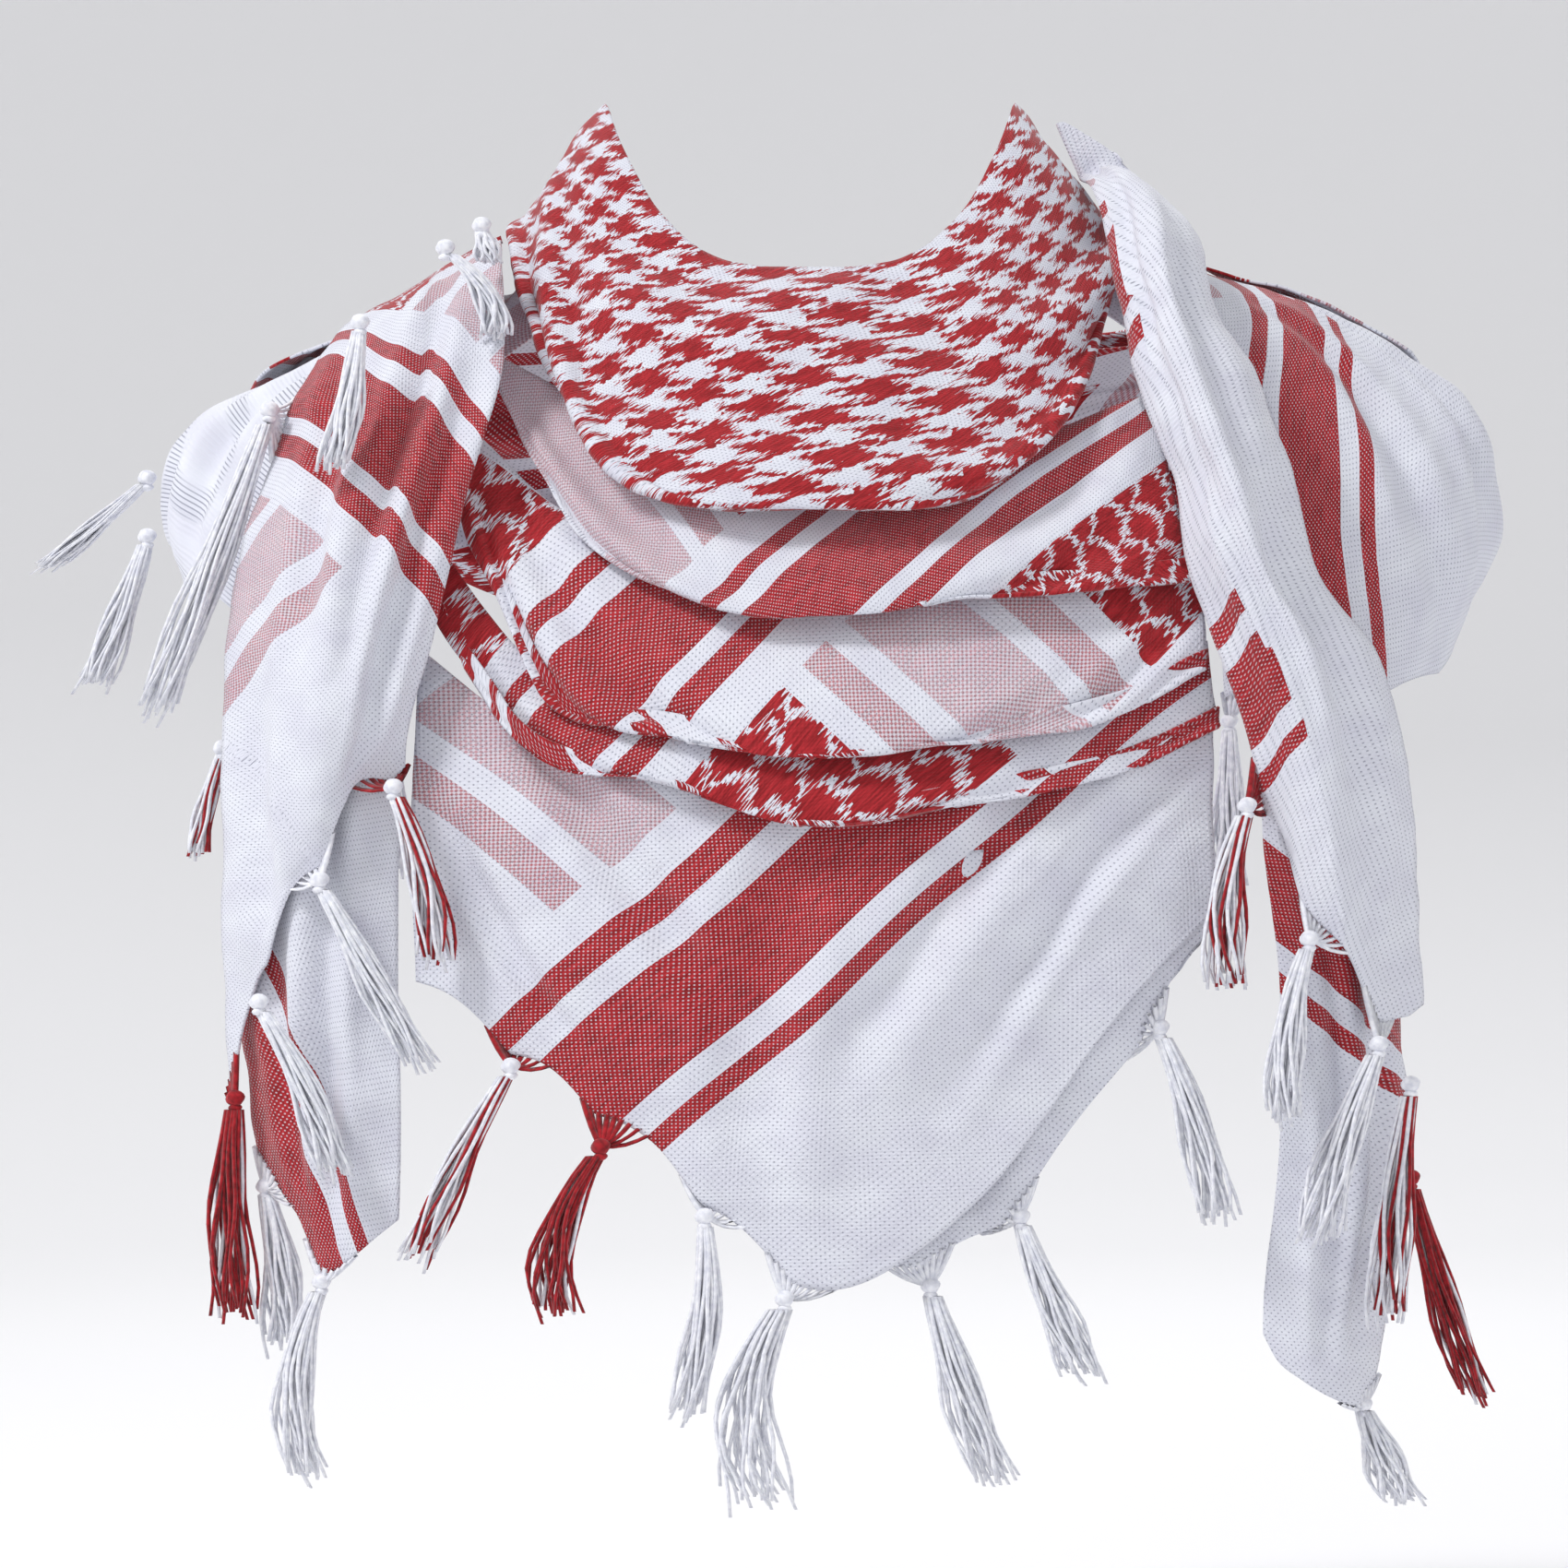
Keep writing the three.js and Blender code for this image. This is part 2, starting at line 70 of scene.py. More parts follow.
SKEW = 2.2            # mm that the threads wander from straight
EASING = 0.25         # the share of a vertex's smoothing

FIGURE_COLUMNS = ("z", "half", "front", "back")
FIGURE = (
    (-700, 230, 105, 98),
    (-400, 238, 112, 104),
    (-250, 242, 118, 114),
    (-150, 244, 116, 120),
    (-80, 242, 107, 118),
    (-35, 236, 95, 112),
    (0, 222, 82, 106),
    (20, 203, 74, 100),
    (33, 180, 69, 97),
    (42, 158, 66, 94),
    (55, 130, 61, 88),
    (66, 104, 59, 82),
    (78, 74, 57, 74),
    (110, 61, 56, 64),
    (200, 60, 56, 62),
)
PANEL_COLUMNS = "left right z0 z12 z30 z50 z70 z88 z100 d0 d50 d100".split()
PANEL_STATIONS = (0.0, 0.12, 0.3, 0.5, 0.7, 0.88, 1.0)
WRAP_COLUMNS = "from to z0 z25 z50 z75 z100 d0 d25 d50 d75 d100".split()
WRAP_STATIONS = (0.0, 0.25, 0.5, 0.75, 1.0)
RING_COLUMNS = "front side back left right fore aft".split()


class Side(Enum):
    """How a sheet's section rows are laid on the general figure."""

    FRONT = "seen from the front"
    ROUND = "round the figure"
    NECK = "a ring about the neck"


class Yarn(Enum):
    """The colour of the threads in one tassel."""

    WHITE = "white"
    RED = "red"
    MIXED = "red and white"


def linear(code: str) -> tuple[float, float, float, float]:
    """Turn an sRGB hex colour into linear RGBA.

    Args:
        code: Six hex digits, with or without the leading hash.

    Returns:
        The linear colour, with an alpha of one.
    """
    digits = code.lstrip("#")
    channels = [int(digits[i:i + 2], 16) / 255 for i in (0, 2, 4)]
    curve = [c / 12.92 if c <= 0.04045 else ((c + 0.055) / 1.055) ** 2.4 for c in channels]
    return (*curve, 1.0)


def spline(at: np.ndarray, values: np.ndarray, t: np.ndarray) -> np.ndarray:
    """Evaluate a smooth curve through given values.

    Args:
        at: Rising places of the values.
        values: The values, along the last axis; other axes run beside t.
        t: Where to evaluate.

    Returns:
        The curve's value at each t.
    """
    at = np.asarray(at, float)
    values = np.asarray(values, float)
    x = np.clip(t, at[0], at[-1])
    i = np.clip(np.searchsorted(at, x, side="left") - 1, 0, len(at) - 2)
    last = len(at) - 1

    def pick(k: np.ndarray) -> np.ndarray:
        """Return the values at index k for each t."""
        if values.ndim == 1:
            return values[k]
        return np.take_along_axis(values, k[..., None], axis=-1)[..., 0]

    def slope(k: np.ndarray) -> np.ndarray:
        """Return the slope at index k, from its two neighbours."""
        low, high = np.maximum(k - 1, 0), np.minimum(k + 1, last)
        return (pick(high) - pick(low)) / (at[high] - at[low])

    h = at[i + 1] - at[i]
    u = (x - at[i]) / h
    ease = u * u * (3 - 2 * u)
    start = u * (1 - u) ** 2 * h * slope(i)
    end = u * u * (1 - u) * h * slope(i + 1)
    return pick(i) + (pick(i + 1) - pick(i)) * ease + start - end


def power(value: np.ndarray, exponent: float) -> np.ndarray:
    """Return the signed power, for superellipses."""
    return np.sign(value) * np.abs(value) ** exponent


class Figure:
    """The general figure that the cloth lies on. It is not built."""

    rows = np.array(FIGURE, float)

    @classmethod
    def size(cls, name: str, x: np.ndarray, z: np.ndarray, off: np.ndarray) -> np.ndarray:
        """Return one of the figure's sizes for a layer at a height.

        Args:
            name: half, front or back.
            x: Places across, in mm.
            z: Heights, in mm.
            off: The layer's distance off the figure, in mm.

        Returns:
            The size with the layer's distance added.
        """
        height = z - SLOPE * x - LIFT * off
        return spline(cls.rows[:, 0], cls.rows[:, FIGURE_COLUMNS.index(name)], height) + off

    @classmethod
    def in_front(cls, x: np.ndarray, z: np.ndarray, off: np.ndarray) -> np.ndarray:
        """Place a layer in front of the figure.

        Args:
            x: Places across, in mm.
            z: Heights, in mm.
            off: The layer's distance off the figure, in mm.

        Returns:
            The points, whose x and z are as given.
        """
        across = np.minimum(np.abs(x) / cls.size("half", x, z, off), 1.0)
        y = -cls.size("front", x, z, off) * (1 - across ** CORNER) ** (1 / CORNER)
        return np.stack([x, y, z], axis=-1)

    @classmethod
    def around(cls, degrees: np.ndarray, z: np.ndarray, off: np.ndarray) -> np.ndarray:
        """Place a layer round the figure.

        Args:
            degrees: Angles from the front, with 90 at the +X side.
            z: Heights, in mm.
            off: The layer's distance off the figure, in mm.

        Returns:
            The points.
        """
        angle = np.radians(degrees)
        sideways = power(np.sin(angle), 2 / CORNER)
        forwards = power(np.cos(angle), 2 / CORNER)
        x = np.zeros_like(angle)
        for _ in range(3):
            x = cls.size("half", x, z, off) * sideways
        reach = np.where(forwards > 0, cls.size("front", x, z, off), cls.size("back", x, z, off))
        return np.stack([x, -reach * forwards, z], axis=-1)


@dataclass(frozen=True)
class Axis:
    """How one thread direction of the square runs over a sheet.

    The place across the bands is value + scale * distance, with the distance taken from
    the point (x, z) in the given direction on the sheet.
    """

    degrees: float
    scale: float
    x: float
    z: float
    value: float

    def read(self, across: np.ndarray, up: np.ndarray) -> np.ndarray:
        """Return the place on the square, in mm, of points given across and up the sheet."""
        angle = math.radians(self.degrees)
        reach = (across - self.x) * math.cos(angle) + (up - self.z) * math.sin(angle)
        return self.value + self.scale * reach


@dataclass(frozen=True)
class Crease:
    """One soft fold in a sheet, from one place to another, as shares across and down."""

    start: tuple[float, float]
    end: tuple[float, float]
    width: float   # mm
    depth: float   # mm, a trough where positive and a ridge where negative
    bow: float = 0.0

    def push(self, u: np.ndarray, v: np.ndarray, wide: float, tall: float) -> np.ndarray:
        """Work out how far the crease pushes each point in.

        Args:
            u: Shares across the sheet.
            v: Shares down the sheet.
            wide: The sheet's width in mm.
            tall: The sheet's height in mm.

        Returns:
            The depth at each point, in mm.
        """
        ax, ay = self.start[0] * wide, self.start[1] * tall
        bx, by = self.end[0] * wide, self.end[1] * tall
        length = math.hypot(bx - ax, by - ay)
        dx, dy = (bx - ax) / length, (by - ay) / length
        px, py = u * wide - ax, v * tall - ay
        along = (px * dx + py * dy) / length
        side = px * -dy + py * dx - self.bow * np.sin(np.pi * np.clip(along, 0, 1))
        fade = np.clip(np.sin(np.pi * np.clip(along, 0.0, 1.0)), 0, 1) ** 0.7
        lip = 0.35 * np.exp(-((np.abs(side) / self.width - 1.5) ** 2) * 2.2)
        return self.depth * fade * (np.exp(-(side / self.width) ** 2) - lip)


@dataclass(frozen=True)
class Hem:
    """A fringed edge at a sheet's foot, drawn up between its knots."""

    knots: tuple[float, ...]
    rise: float = 6.0   # mm

    def lift(self, u: np.ndarray, v: np.ndarray) -> np.ndarray:
        """Return how far the edge is drawn up at each point, in mm."""
        ends = np.array(self.knots)
        i = np.clip(np.searchsorted(ends, u) - 1, 0, len(ends) - 2)
        share = np.clip((u - ends[i]) / (ends[i + 1] - ends[i]), 0, 1)
        inside = (u >= ends[0]) & (u <= ends[-1])
        arc = np.where(inside, np.sin(np.pi * share), 0.0)
        return self.rise * arc * np.clip((v - 0.6) / 0.4, 0, 1) ** 3


@dataclass
class Sheet:
    """One stretch of cloth, with its sections, its weave's run and its creases."""

    name: str
    side: Side
    rows: tuple[tuple[float, ...], ...]
    bands: Axis
    weft: Axis
    flat: tuple[float, float]
    held: str = "draped"
    rests_on: tuple[str, ...] = ()
    creases: tuple[Crease, ...] = ()
    hem: Hem | None = None
    hem_line: tuple[float, float] | None = None
    fold_at: float | None = None
    roll: float = 0.0
    ripple: float = 2.2
    seed: float = 0.0
    piece: bpy.types.Object | None = field(default=None, repr=False)

    def column(self, name: str, v: np.ndarray) -> np.ndarray:
        """Read a column of the section table smoothly.

        Args:
            name: The column's name.
            v: Shares down the sheet.

        Returns:
            The column's value at each v.
        """
        names = {Side.FRONT: PANEL_COLUMNS, Side.ROUND: WRAP_COLUMNS, Side.NECK: RING_COLUMNS}
        values = [row[names[self.side].index(name)] for row in self.rows]
        return spline(np.arange(len(values)), np.array(values), v * (len(values) - 1))

    def stations(
        self, prefix: str, places: tuple[float, ...], u: np.ndarray, v: np.ndarray,
    ) -> np.ndarray:
        """Read all the columns of one letter.

        Args:
            prefix: z for heights or d for distances off the figure.
            places: Where the stations lie along a row, as shares.
            u: Shares across the sheet.
            v: Shares down the sheet.

        Returns:
            The value at each point.
        """
        values = np.stack([self.column(f"{prefix}{round(p * 100)}", v) for p in places], axis=-1)
        return spline(np.array(places), values, u)

    def surface(self, u: np.ndarray, v: np.ndarray) -> np.ndarray:
        """Return the sheet's smooth surface, before its creases.

        Args:
            u: Shares across the sheet, from its left.
            v: Shares down the sheet, from its top.

        Returns:
            The points, in mm.
        """
        if self.side is Side.NECK:
            return self.neck_surface(u, v)
        if self.side is Side.FRONT:
            left, right = self.column("left", v), self.column("right", v)
            z = self.stations("z", PANEL_STATIONS, u, v)
            off = self.stations("d", (0.0, 0.5, 1.0), u, v)
            if self.hem:
                z = z + self.hem.lift(u, v)
            return Figure.in_front(left + (right - left) * u, z, off)
        start, stop = self.column("from", v), self.column("to", v)
        z = self.stations("z", WRAP_STATIONS, u, v)
        off = self.stations("d", WRAP_STATIONS, u, v)
        if self.hem:
            z = z + self.hem.lift(u, v)
        return Figure.around(start + (stop - start) * u, z, off)

    def neck_surface(self, u: np.ndarray, v: np.ndarray) -> np.ndarray:
        """Shape the neck wrap, from its back round through the right side, front and left side.

        Args:
            u: Shares round the ring.
            v: Shares down the sheet.

        Returns:
            The points, in mm.
        """
        angle = np.pi * (1 - 2 * u)
        sine, cosine = np.sin(angle), np.cos(angle)
        middle = np.where(cosine > 0, self.column("front", v), self.column("back", v))
        edge = TOP_EDGE_POWER + EDGE_POWER_GAIN * v
        z = middle + (self.column("side", v) - middle) * np.abs(sine) ** edge
        half = np.where(sine > 0, self.column("right", v), self.column("left", v))
        reach = np.where(cosine > 0, self.column("fore", v), self.column("aft", v))
        x = half * power(sine, 2 / CORNER)
        y = -reach * power(cosine, 2 / CORNER)
        return np.stack([x, y, z], axis=-1)

    def build(self) -> bpy.types.Object:
        """Shape the sheet from a flat grid and give it its wall.

        Returns:
            The finished sheet.
        """
        probe = np.linspace(0, 1, 41)
        middle = self.surface(probe, np.full_like(probe, 0.5))
        down = self.surface(np.full_like(probe, 0.5), probe)
        wide = float(np.linalg.norm(np.diff(middle, axis=0), axis=1).sum())
        tall = float(np.linalg.norm(np.diff(down, axis=0), axis=1).sum())
        across = max(24, round(wide / GRID_STEP))
        deep = max(16, round(tall / GRID_STEP))
        grid_u, grid_v = np.meshgrid(np.linspace(0, 1, across + 1), np.linspace(0, 1, deep + 1))
        smooth = self.surface(grid_u, grid_v)
        creased = self.fold(smooth, grid_u, grid_v, wide, tall)
        places = self.thread_places(smooth, across)
        mesh = self.lay_grid(creased, places, across, deep)
        self.piece = self.finish_piece(mesh)
        return self.piece

    def edge_near(self, place: Vector, offsets: tuple[float, ...]) -> list[Vector]:
        """Find where a tassel's threads leave the sheet's edge.

        Args:
            place: The tassel's knot, in mm.
            offsets: How far each thread starts from the nearest point, along the edge, in mm.

        Returns:
            The start of each thread, in mm, or none where the knot lies away from the edge.
        """
        share = np.linspace(0, 1, 121)
        ends = np.zeros_like(share)
        lines = (self.surface(share, ends + 1), self.surface(ends, share), self.surface(ends + 1, share))
        gaps = [np.linalg.norm(line - np.array(place), axis=1) for line in lines]
        line = lines[int(np.argmin([gap.min() for gap in gaps]))]
        nearest = int(np.argmin(np.linalg.norm(line - np.array(place), axis=1)))
        run = np.concatenate([[0], np.cumsum(np.linalg.norm(np.diff(line, axis=0), axis=1))])
        if np.linalg.norm(line[nearest] - np.array(place)) > ROOT_REACH:
            return []
        picks = np.clip(run[nearest] + np.array(offsets), 0, run[-1])
        return [Vector([np.interp(pick, run, line[:, axis]) for axis in range(3)]) for pick in picks]

    def fold(
        self, points: np.ndarray, u: np.ndarray, v: np.ndarray, wide: float, tall: float,
    ) -> np.ndarray:
        """Push the creases and a soft ripple into the surface, along its normals.

        Args:
            points: The smooth surface, in mm.
            u: Shares across the sheet.
            v: Shares down the sheet.
            wide: The sheet's width in mm.
            tall: The sheet's height in mm.

        Returns:
            The creased points, in mm.
        """
        along = np.gradient(points, axis=1)
        down = np.gradient(points, axis=0)
        if self.side is Side.NECK:
            along[:, 0] = along[:, -1] = points[:, 1] - points[:, -2]
        normal = np.cross(down, along)
        normal /= np.maximum(np.linalg.norm(normal, axis=-1, keepdims=True), 1e-9)
        push = np.zeros_like(u)
        for crease in self.creases:
            push += crease.push(u, v, wide, tall)
            if self.side is Side.NECK:
                push += crease.push(u - 1, v, wide, tall) + crease.push(u + 1, v, wide, tall)
        rough = self.wander(points, FOLD_LENGTH, 26.0, self.seed)
        fine = self.wander(points, WRINKLE_LENGTH, 9.0, -self.seed)
        push += self.ripple * rough + WRINKLE_SHARE * self.ripple * fine
        push += self.roll * np.clip((v * tall - tall + ROLL_REACH) / ROLL_REACH, 0, 1) ** 2
        if self.hem_line:
            seam = (u - self.hem_share(v)) * wide
            push -= HEM_RIDGE * np.exp(-((seam - 1.5) / HEM_WIDTH) ** 2)
        return points - normal * push[..., None]

    def wander(self, points: np.ndarray, length: float, height: float, shift: float) -> np.ndarray:
        """Return soft noise at each point, of a length across, a height up and a shift, in mm."""
        spots = [Vector((x / length, y / length, z / height + shift)) for x, y, z in points.reshape(-1, 3)]
        return np.array([noise.noise(spot) for spot in spots]).reshape(points.shape[:2])

    def hem_share(self, v: np.ndarray) -> np.ndarray:
        """Return how far across the folded-over hem lies at each share down the sheet."""
        return self.hem_line[0] + (self.hem_line[1] - self.hem_line[0]) * v

    def thread_places(self, points: np.ndarray, across: int) -> np.ndarray:
        """Work out where each point lies on the cloth square, in metres.

        Args:
            points: The smooth surface, in mm.
            across: The number of faces across the sheet.

        Returns:
            The place across the bands and the place along them, for each point.
        """
        mid = across // 2
        steps = np.linalg.norm(np.diff(points, axis=1), axis=-1)
        run = np.concatenate([np.zeros((len(points), 1)), np.cumsum(steps, axis=1)], axis=1)
        run = run - run[:, mid:mid + 1] + points[:, mid:mid + 1, 0]
        drops = np.linalg.norm(np.diff(points, axis=0), axis=-1)
        drop = np.concatenate([np.zeros((1, points.shape[1])), np.cumsum(drops, axis=0)], axis=0)
        up = points[:1, :, 2] - drop
        if self.side is Side.NECK:
            run = -run
        if self.side is Side.FRONT:
            run = points[..., 0]
            fall = points[:1, :, 2] - points[-1:, :, 2]
            up = points[:1, :, 2] - drop * fall / np.maximum(drop[-1:], 1e-6)
        wave = SKEW * np.sin(run / 23 + self.seed) * np.sin(up / 31 + self.seed)
        bands = self.bands.read(run, up) + wave
        weft = self.weft.read(run, up) - wave
        if self.fold_at is not None:
            bands = self.fold_at + np.abs(bands - self.fold_at)
        return np.stack([bands, weft], axis=-1) * MM

    def lay_grid(
        self, points: np.ndarray, places: np.ndarray, across: int, deep: int,
    ) -> bmesh.types.BMesh:
        """Make a grid, move it on to the surface and map it to the cloth square.

        Args:
            points: The creased surface, in mm.
            places: Where each point lies on the square, in metres.
            across: The number of faces across.
            deep: The number of faces down.

        Returns:
            The sheet's mesh, in metres.
        """
        mesh = bmesh.new()
        bmesh.ops.create_grid(mesh, x_segments=across, y_segments=deep, size=0.5)
        mesh.verts.ensure_lookup_table()
        where: dict[int, tuple[int, int]] = {}
        for vertex in mesh.verts:
            i = round((vertex.co.x + 0.5) * across)
            j = round((0.5 - vertex.co.y) * deep)
            where[vertex.index] = (j, i)
        layer = mesh.loops.layers.uv.new("cloth")
        for face in mesh.faces:
            margin = self.beyond_hem(face)
            for loop in face.loops:
                band, row = places[where[loop.vert.index]]
                loop[layer].uv = (band - margin, row)
        for vertex in mesh.verts:
            vertex.co = Vector(points[where[vertex.index]]) * MM
        if self.side is Side.NECK:
            bmesh.ops.remove_doubles(mesh, verts=mesh.verts, dist=1e-5)
        return mesh

    def beyond_hem(self, face: bmesh.types.BMFace) -> float:
        """Find how far a face's chart shifts to the plain selvedge side.

        Args:
            face: A face of the flat grid.

        Returns:
            The shift in metres, which is none up to the hem.
        """
        if not self.hem_line:
            return 0.0
        middle = face.calc_center_median()
        past = middle.x + 0.5 > float(self.hem_share(np.array(0.5 - middle.y)))
        return SQUARE_SPAN * MM if past else 0.0

    def finish_piece(self, mesh: bmesh.types.BMesh) -> bpy.types.Object:
        """Turn the mesh into a smooth object with a wall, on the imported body.

        Args:
            mesh: The sheet's mesh, which is freed.

        Returns:
            The sheet's object.
        """
        data = bpy.data.meshes.new(f"{self.name}_cloth")
        axes = {"use_axis_x": True, "use_axis_y": True, "use_axis_z": True}
        bmesh.ops.smooth_vert(mesh, verts=mesh.verts, factor=EASING, **axes)
        mesh.to_mesh(data)
        mesh.free()
        data.shade_smooth()
        piece = bpy.data.objects.new(f"{self.name}_cloth", data)
        bpy.context.scene.collection.objects.link(piece)
        wall = piece.modifiers.new("wall", "SOLIDIFY")
        wall.thickness = CLOTH_WALL * MM
        wall.offset = -1
        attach(piece, BODY)
        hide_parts(self.name)
        return piece


@dataclass(frozen=True)
class Ramp:
    """Where a stripe starts and stops across the cloth, in mm, and its strength."""

    start: float
    stop: float
    strength: float = 1.0


# The square's layout. Bands run with the warp; rows lie across them, in the two fields only.
WARP_BANDS = (
    Ramp(85, 94), Ramp(104, 142), Ramp(152, 162),
    Ramp(292, 301), Ramp(311, 349), Ramp(359, 368),
)
FIELDS = (Ramp(180, 272), Ramp(388, 700))
WEFT_ROWS = (
    Ramp(50, 64, 0.75), Ramp(74, 109, 0.6), Ramp(119, 133, 0.75),
    Ramp(245, 259, 0.75), Ramp(269, 304, 0.6), Ramp(314, 328, 0.75),
)
ROW_GAPS = (Ramp(0, 143), Ramp(235, 338))
SQUARE_SPAN = 700.0          # mm of the square that the ramps cover


@dataclass(frozen=True)
class WovenCotton:
    """Open plain-weave cotton, bleached white and yarn-dyed red, with satin floats.

    It gives the eye a soft, matt, slightly translucent cloth: white grounds with soft patches of painted
    shade and rows of pinholes painted dark as the shade seen through them, red bands flecked with white,
    red streaked with painted shade, and raised red figures with serrated edges.
    """

    white: str = "#e4e7ee"
    shade: str = "#cfcfdd"
    red: str = "#b0242c"
    # the painted shade of the red, which the satin noise lays in streaks
    shaded_red: str = "#861118"
    hole_pitch: float = 1.9     # mm, a little coarser than the real weave, so that it shows
    fleck_pitch: float = 2.1    # mm between the white flecks of a red band
    tooth_repeat: float = 27.0  # mm, one repeat of the houndstooth
    scale_wide: float = 23.0    # mm, one scallop
    scale_tall: float = 15.0    # mm, one row of scallops

    def node(self, tree: Tree, kind: str, *inputs: object, **settings: object) -> Socket | None:
        """Add a node with its settings and links.

        Args:
            tree: The material's node tree.
            kind: The node's type name.
            inputs: A socket to link or a value to set for each input in order; None skips one.
            settings: Properties of the node; output picks the output to return.

        Returns:
            The chosen output socket, or None for a node that has no output.
        """
        output = settings.pop("output", 0)
        made = tree.nodes.new(kind)
        for name, value in settings.items():
            setattr(made, name, value)
        for socket, value in zip(made.inputs, inputs):
            if isinstance(value, Socket):
                tree.links.new(value, socket)
            elif value is not None:
                socket.default_value = value
        return made.outputs[output] if made.outputs else None

    def stripes(self, tree: Tree, place: Socket, spans: tuple[Ramp, ...]) -> Socket:
        """Draw a set of stripes with crisp edges over the square.

        Args:
            tree: The material's node tree.
            place: The place across the stripes, in metres.
            spans: Where each stripe starts and stops.

        Returns:
            The strength of the stripes at each place.
        """
        per_metre = 1 / (SQUARE_SPAN * MM)
        share = self.node(tree, "ShaderNodeMath", place, per_metre, operation="MULTIPLY", use_clamp=True)
        colour = self.node(tree, "ShaderNodeValToRGB", share)
        ramp = colour.node.color_ramp
        ramp.interpolation = "CONSTANT"
        stops = sorted([(s.start, s.strength) for s in spans] + [(s.stop, 0.0) for s in spans])
        ramp.elements[0].position = 0.0
        first = max((s.strength for s in spans if s.start == 0), default=0.0)
        ramp.elements[0].color = (first, first, first, 1)
        ramp.elements.remove(ramp.elements[1])
        for place_mm, strength in stops:
            if 0 < place_mm < SQUARE_SPAN:
                element = ramp.elements.new(place_mm / SQUARE_SPAN)
                element.color = (strength, strength, strength, 1)
        return colour

    def houndstooth(self, tree: Tree, a: Socket, b: Socket) -> Socket:
        """Draw the houndstooth: red and white threads in turn each way, woven as a twill.

        Args:
            tree: The material's node tree.
            a: The place across the bands, in metres.
            b: The place along the bands, in metres.

        Returns:
            One where the cloth is red.
        """
        step = 8 / (self.tooth_repeat * MM)
        i = self.node(tree, "ShaderNodeMath", a, step, operation="MULTIPLY")
        j = self.node(tree, "ShaderNodeMath", b, step, operation="MULTIPLY")
        total = self.node(tree, "ShaderNodeMath", i, j, operation="ADD")
        turn = self.node(tree, "ShaderNodeMath", total, 4.0, operation="FLOORED_MODULO")
        twill = self.node(tree, "ShaderNodeMath", turn, 2.0, operation="LESS_THAN")
        warp_turn = self.node(tree, "ShaderNodeMath", i, 8.0, operation="FLOORED_MODULO")
        weft_turn = self.node(tree, "ShaderNodeMath", j, 8.0, operation="FLOORED_MODULO")
        warp = self.node(tree, "ShaderNodeMath", warp_turn, 4.4, operation="LESS_THAN")
        weft = self.node(tree, "ShaderNodeMath", weft_turn, 4.4, operation="LESS_THAN")
        return self.node(tree, "ShaderNodeMix", twill, None, weft, warp, data_type="FLOAT")

    def scallops(self, tree: Tree, a: Socket, b: Socket) -> Socket:
        """Draw rows of red scallops parted by white arcs, each row set over by half a scallop.

        Args:
            tree: The material's node tree.
            a: The place across the bands, in metres.
            b: The place along the bands, in metres.

        Returns:
            One where the cloth is red.
        """
        row = self.node(tree, "ShaderNodeMath", b, 1 / (self.scale_tall * MM), operation="MULTIPLY")
        floor = self.node(tree, "ShaderNodeMath", row, operation="FLOOR")
        share = self.node(tree, "ShaderNodeMath", row, floor, operation="SUBTRACT")
        offset = self.node(tree, "ShaderNodeMath", floor, 0.5, operation="MULTIPLY")
        pitch = 1 / (self.scale_wide * MM)
        column = self.node(tree, "ShaderNodeMath", a, pitch, offset, operation="MULTIPLY_ADD")
        across = self.node(tree, "ShaderNodeMath", column, operation="FRACT")
        centred = self.node(tree, "ShaderNodeMath", across, 0.5, operation="SUBTRACT")
        square = self.node(tree, "ShaderNodeMath", centred, centred, operation="MULTIPLY")
        arc = self.node(tree, "ShaderNodeMath", square, -2.4, 0.78, operation="MULTIPLY_ADD")
        height = self.node(tree, "ShaderNodeMath", share, arc, operation="SUBTRACT")
        depth = self.node(tree, "ShaderNodeMath", height, operation="ABSOLUTE")
        gap = self.node(tree, "ShaderNodeMath", depth, 0.11, operation="LESS_THAN")
        return self.node(tree, "ShaderNodeMath", 1.0, gap, operation="SUBTRACT")

    def material(self) -> bpy.types.Material:
        """Make the woven cloth's material.

        Returns:
            The finished material, which reads the piece's own cloth map.
        """
        made = bpy.data.materials.new("woven_cotton_red_on_white")
        made.use_nodes = True
        tree = made.node_tree
        tree.nodes.clear()
        cloth = self.node(tree, "ShaderNodeUVMap", uv_map="cloth")
        split = self.node(tree, "ShaderNodeSeparateXYZ", cloth)
        a, b = split.node.outputs[0], split.node.outputs[1]
        along_b = self.node(tree, "ShaderNodeMapping", cloth, None, None, (950.0, 30.0, 1.0))
        ragged = self.node(tree, "ShaderNodeTexNoise", along_b, None, 1.0, 1.0, noise_dimensions="2D")
        end = self.node(tree, "ShaderNodeMath", ragged, 0.5, operation="SUBTRACT")
        worn_b = self.node(tree, "ShaderNodeMath", end, 0.014, b, operation="MULTIPLY_ADD")
        soft = self.node(tree, "ShaderNodeTexNoise", cloth, None, 140.0, 2.0, noise_dimensions="2D")
        lean = self.node(tree, "ShaderNodeMath", soft, 0.5, operation="SUBTRACT")
        worn_a = self.node(tree, "ShaderNodeMath", lean, 0.009, a, operation="MULTIPLY_ADD")

        bands = self.stripes(tree, a, WARP_BANDS)
        fields = self.stripes(tree, a, FIELDS)
        rows = self.stripes(tree, b, WEFT_ROWS)
        gaps = self.stripes(tree, b, ROW_GAPS)

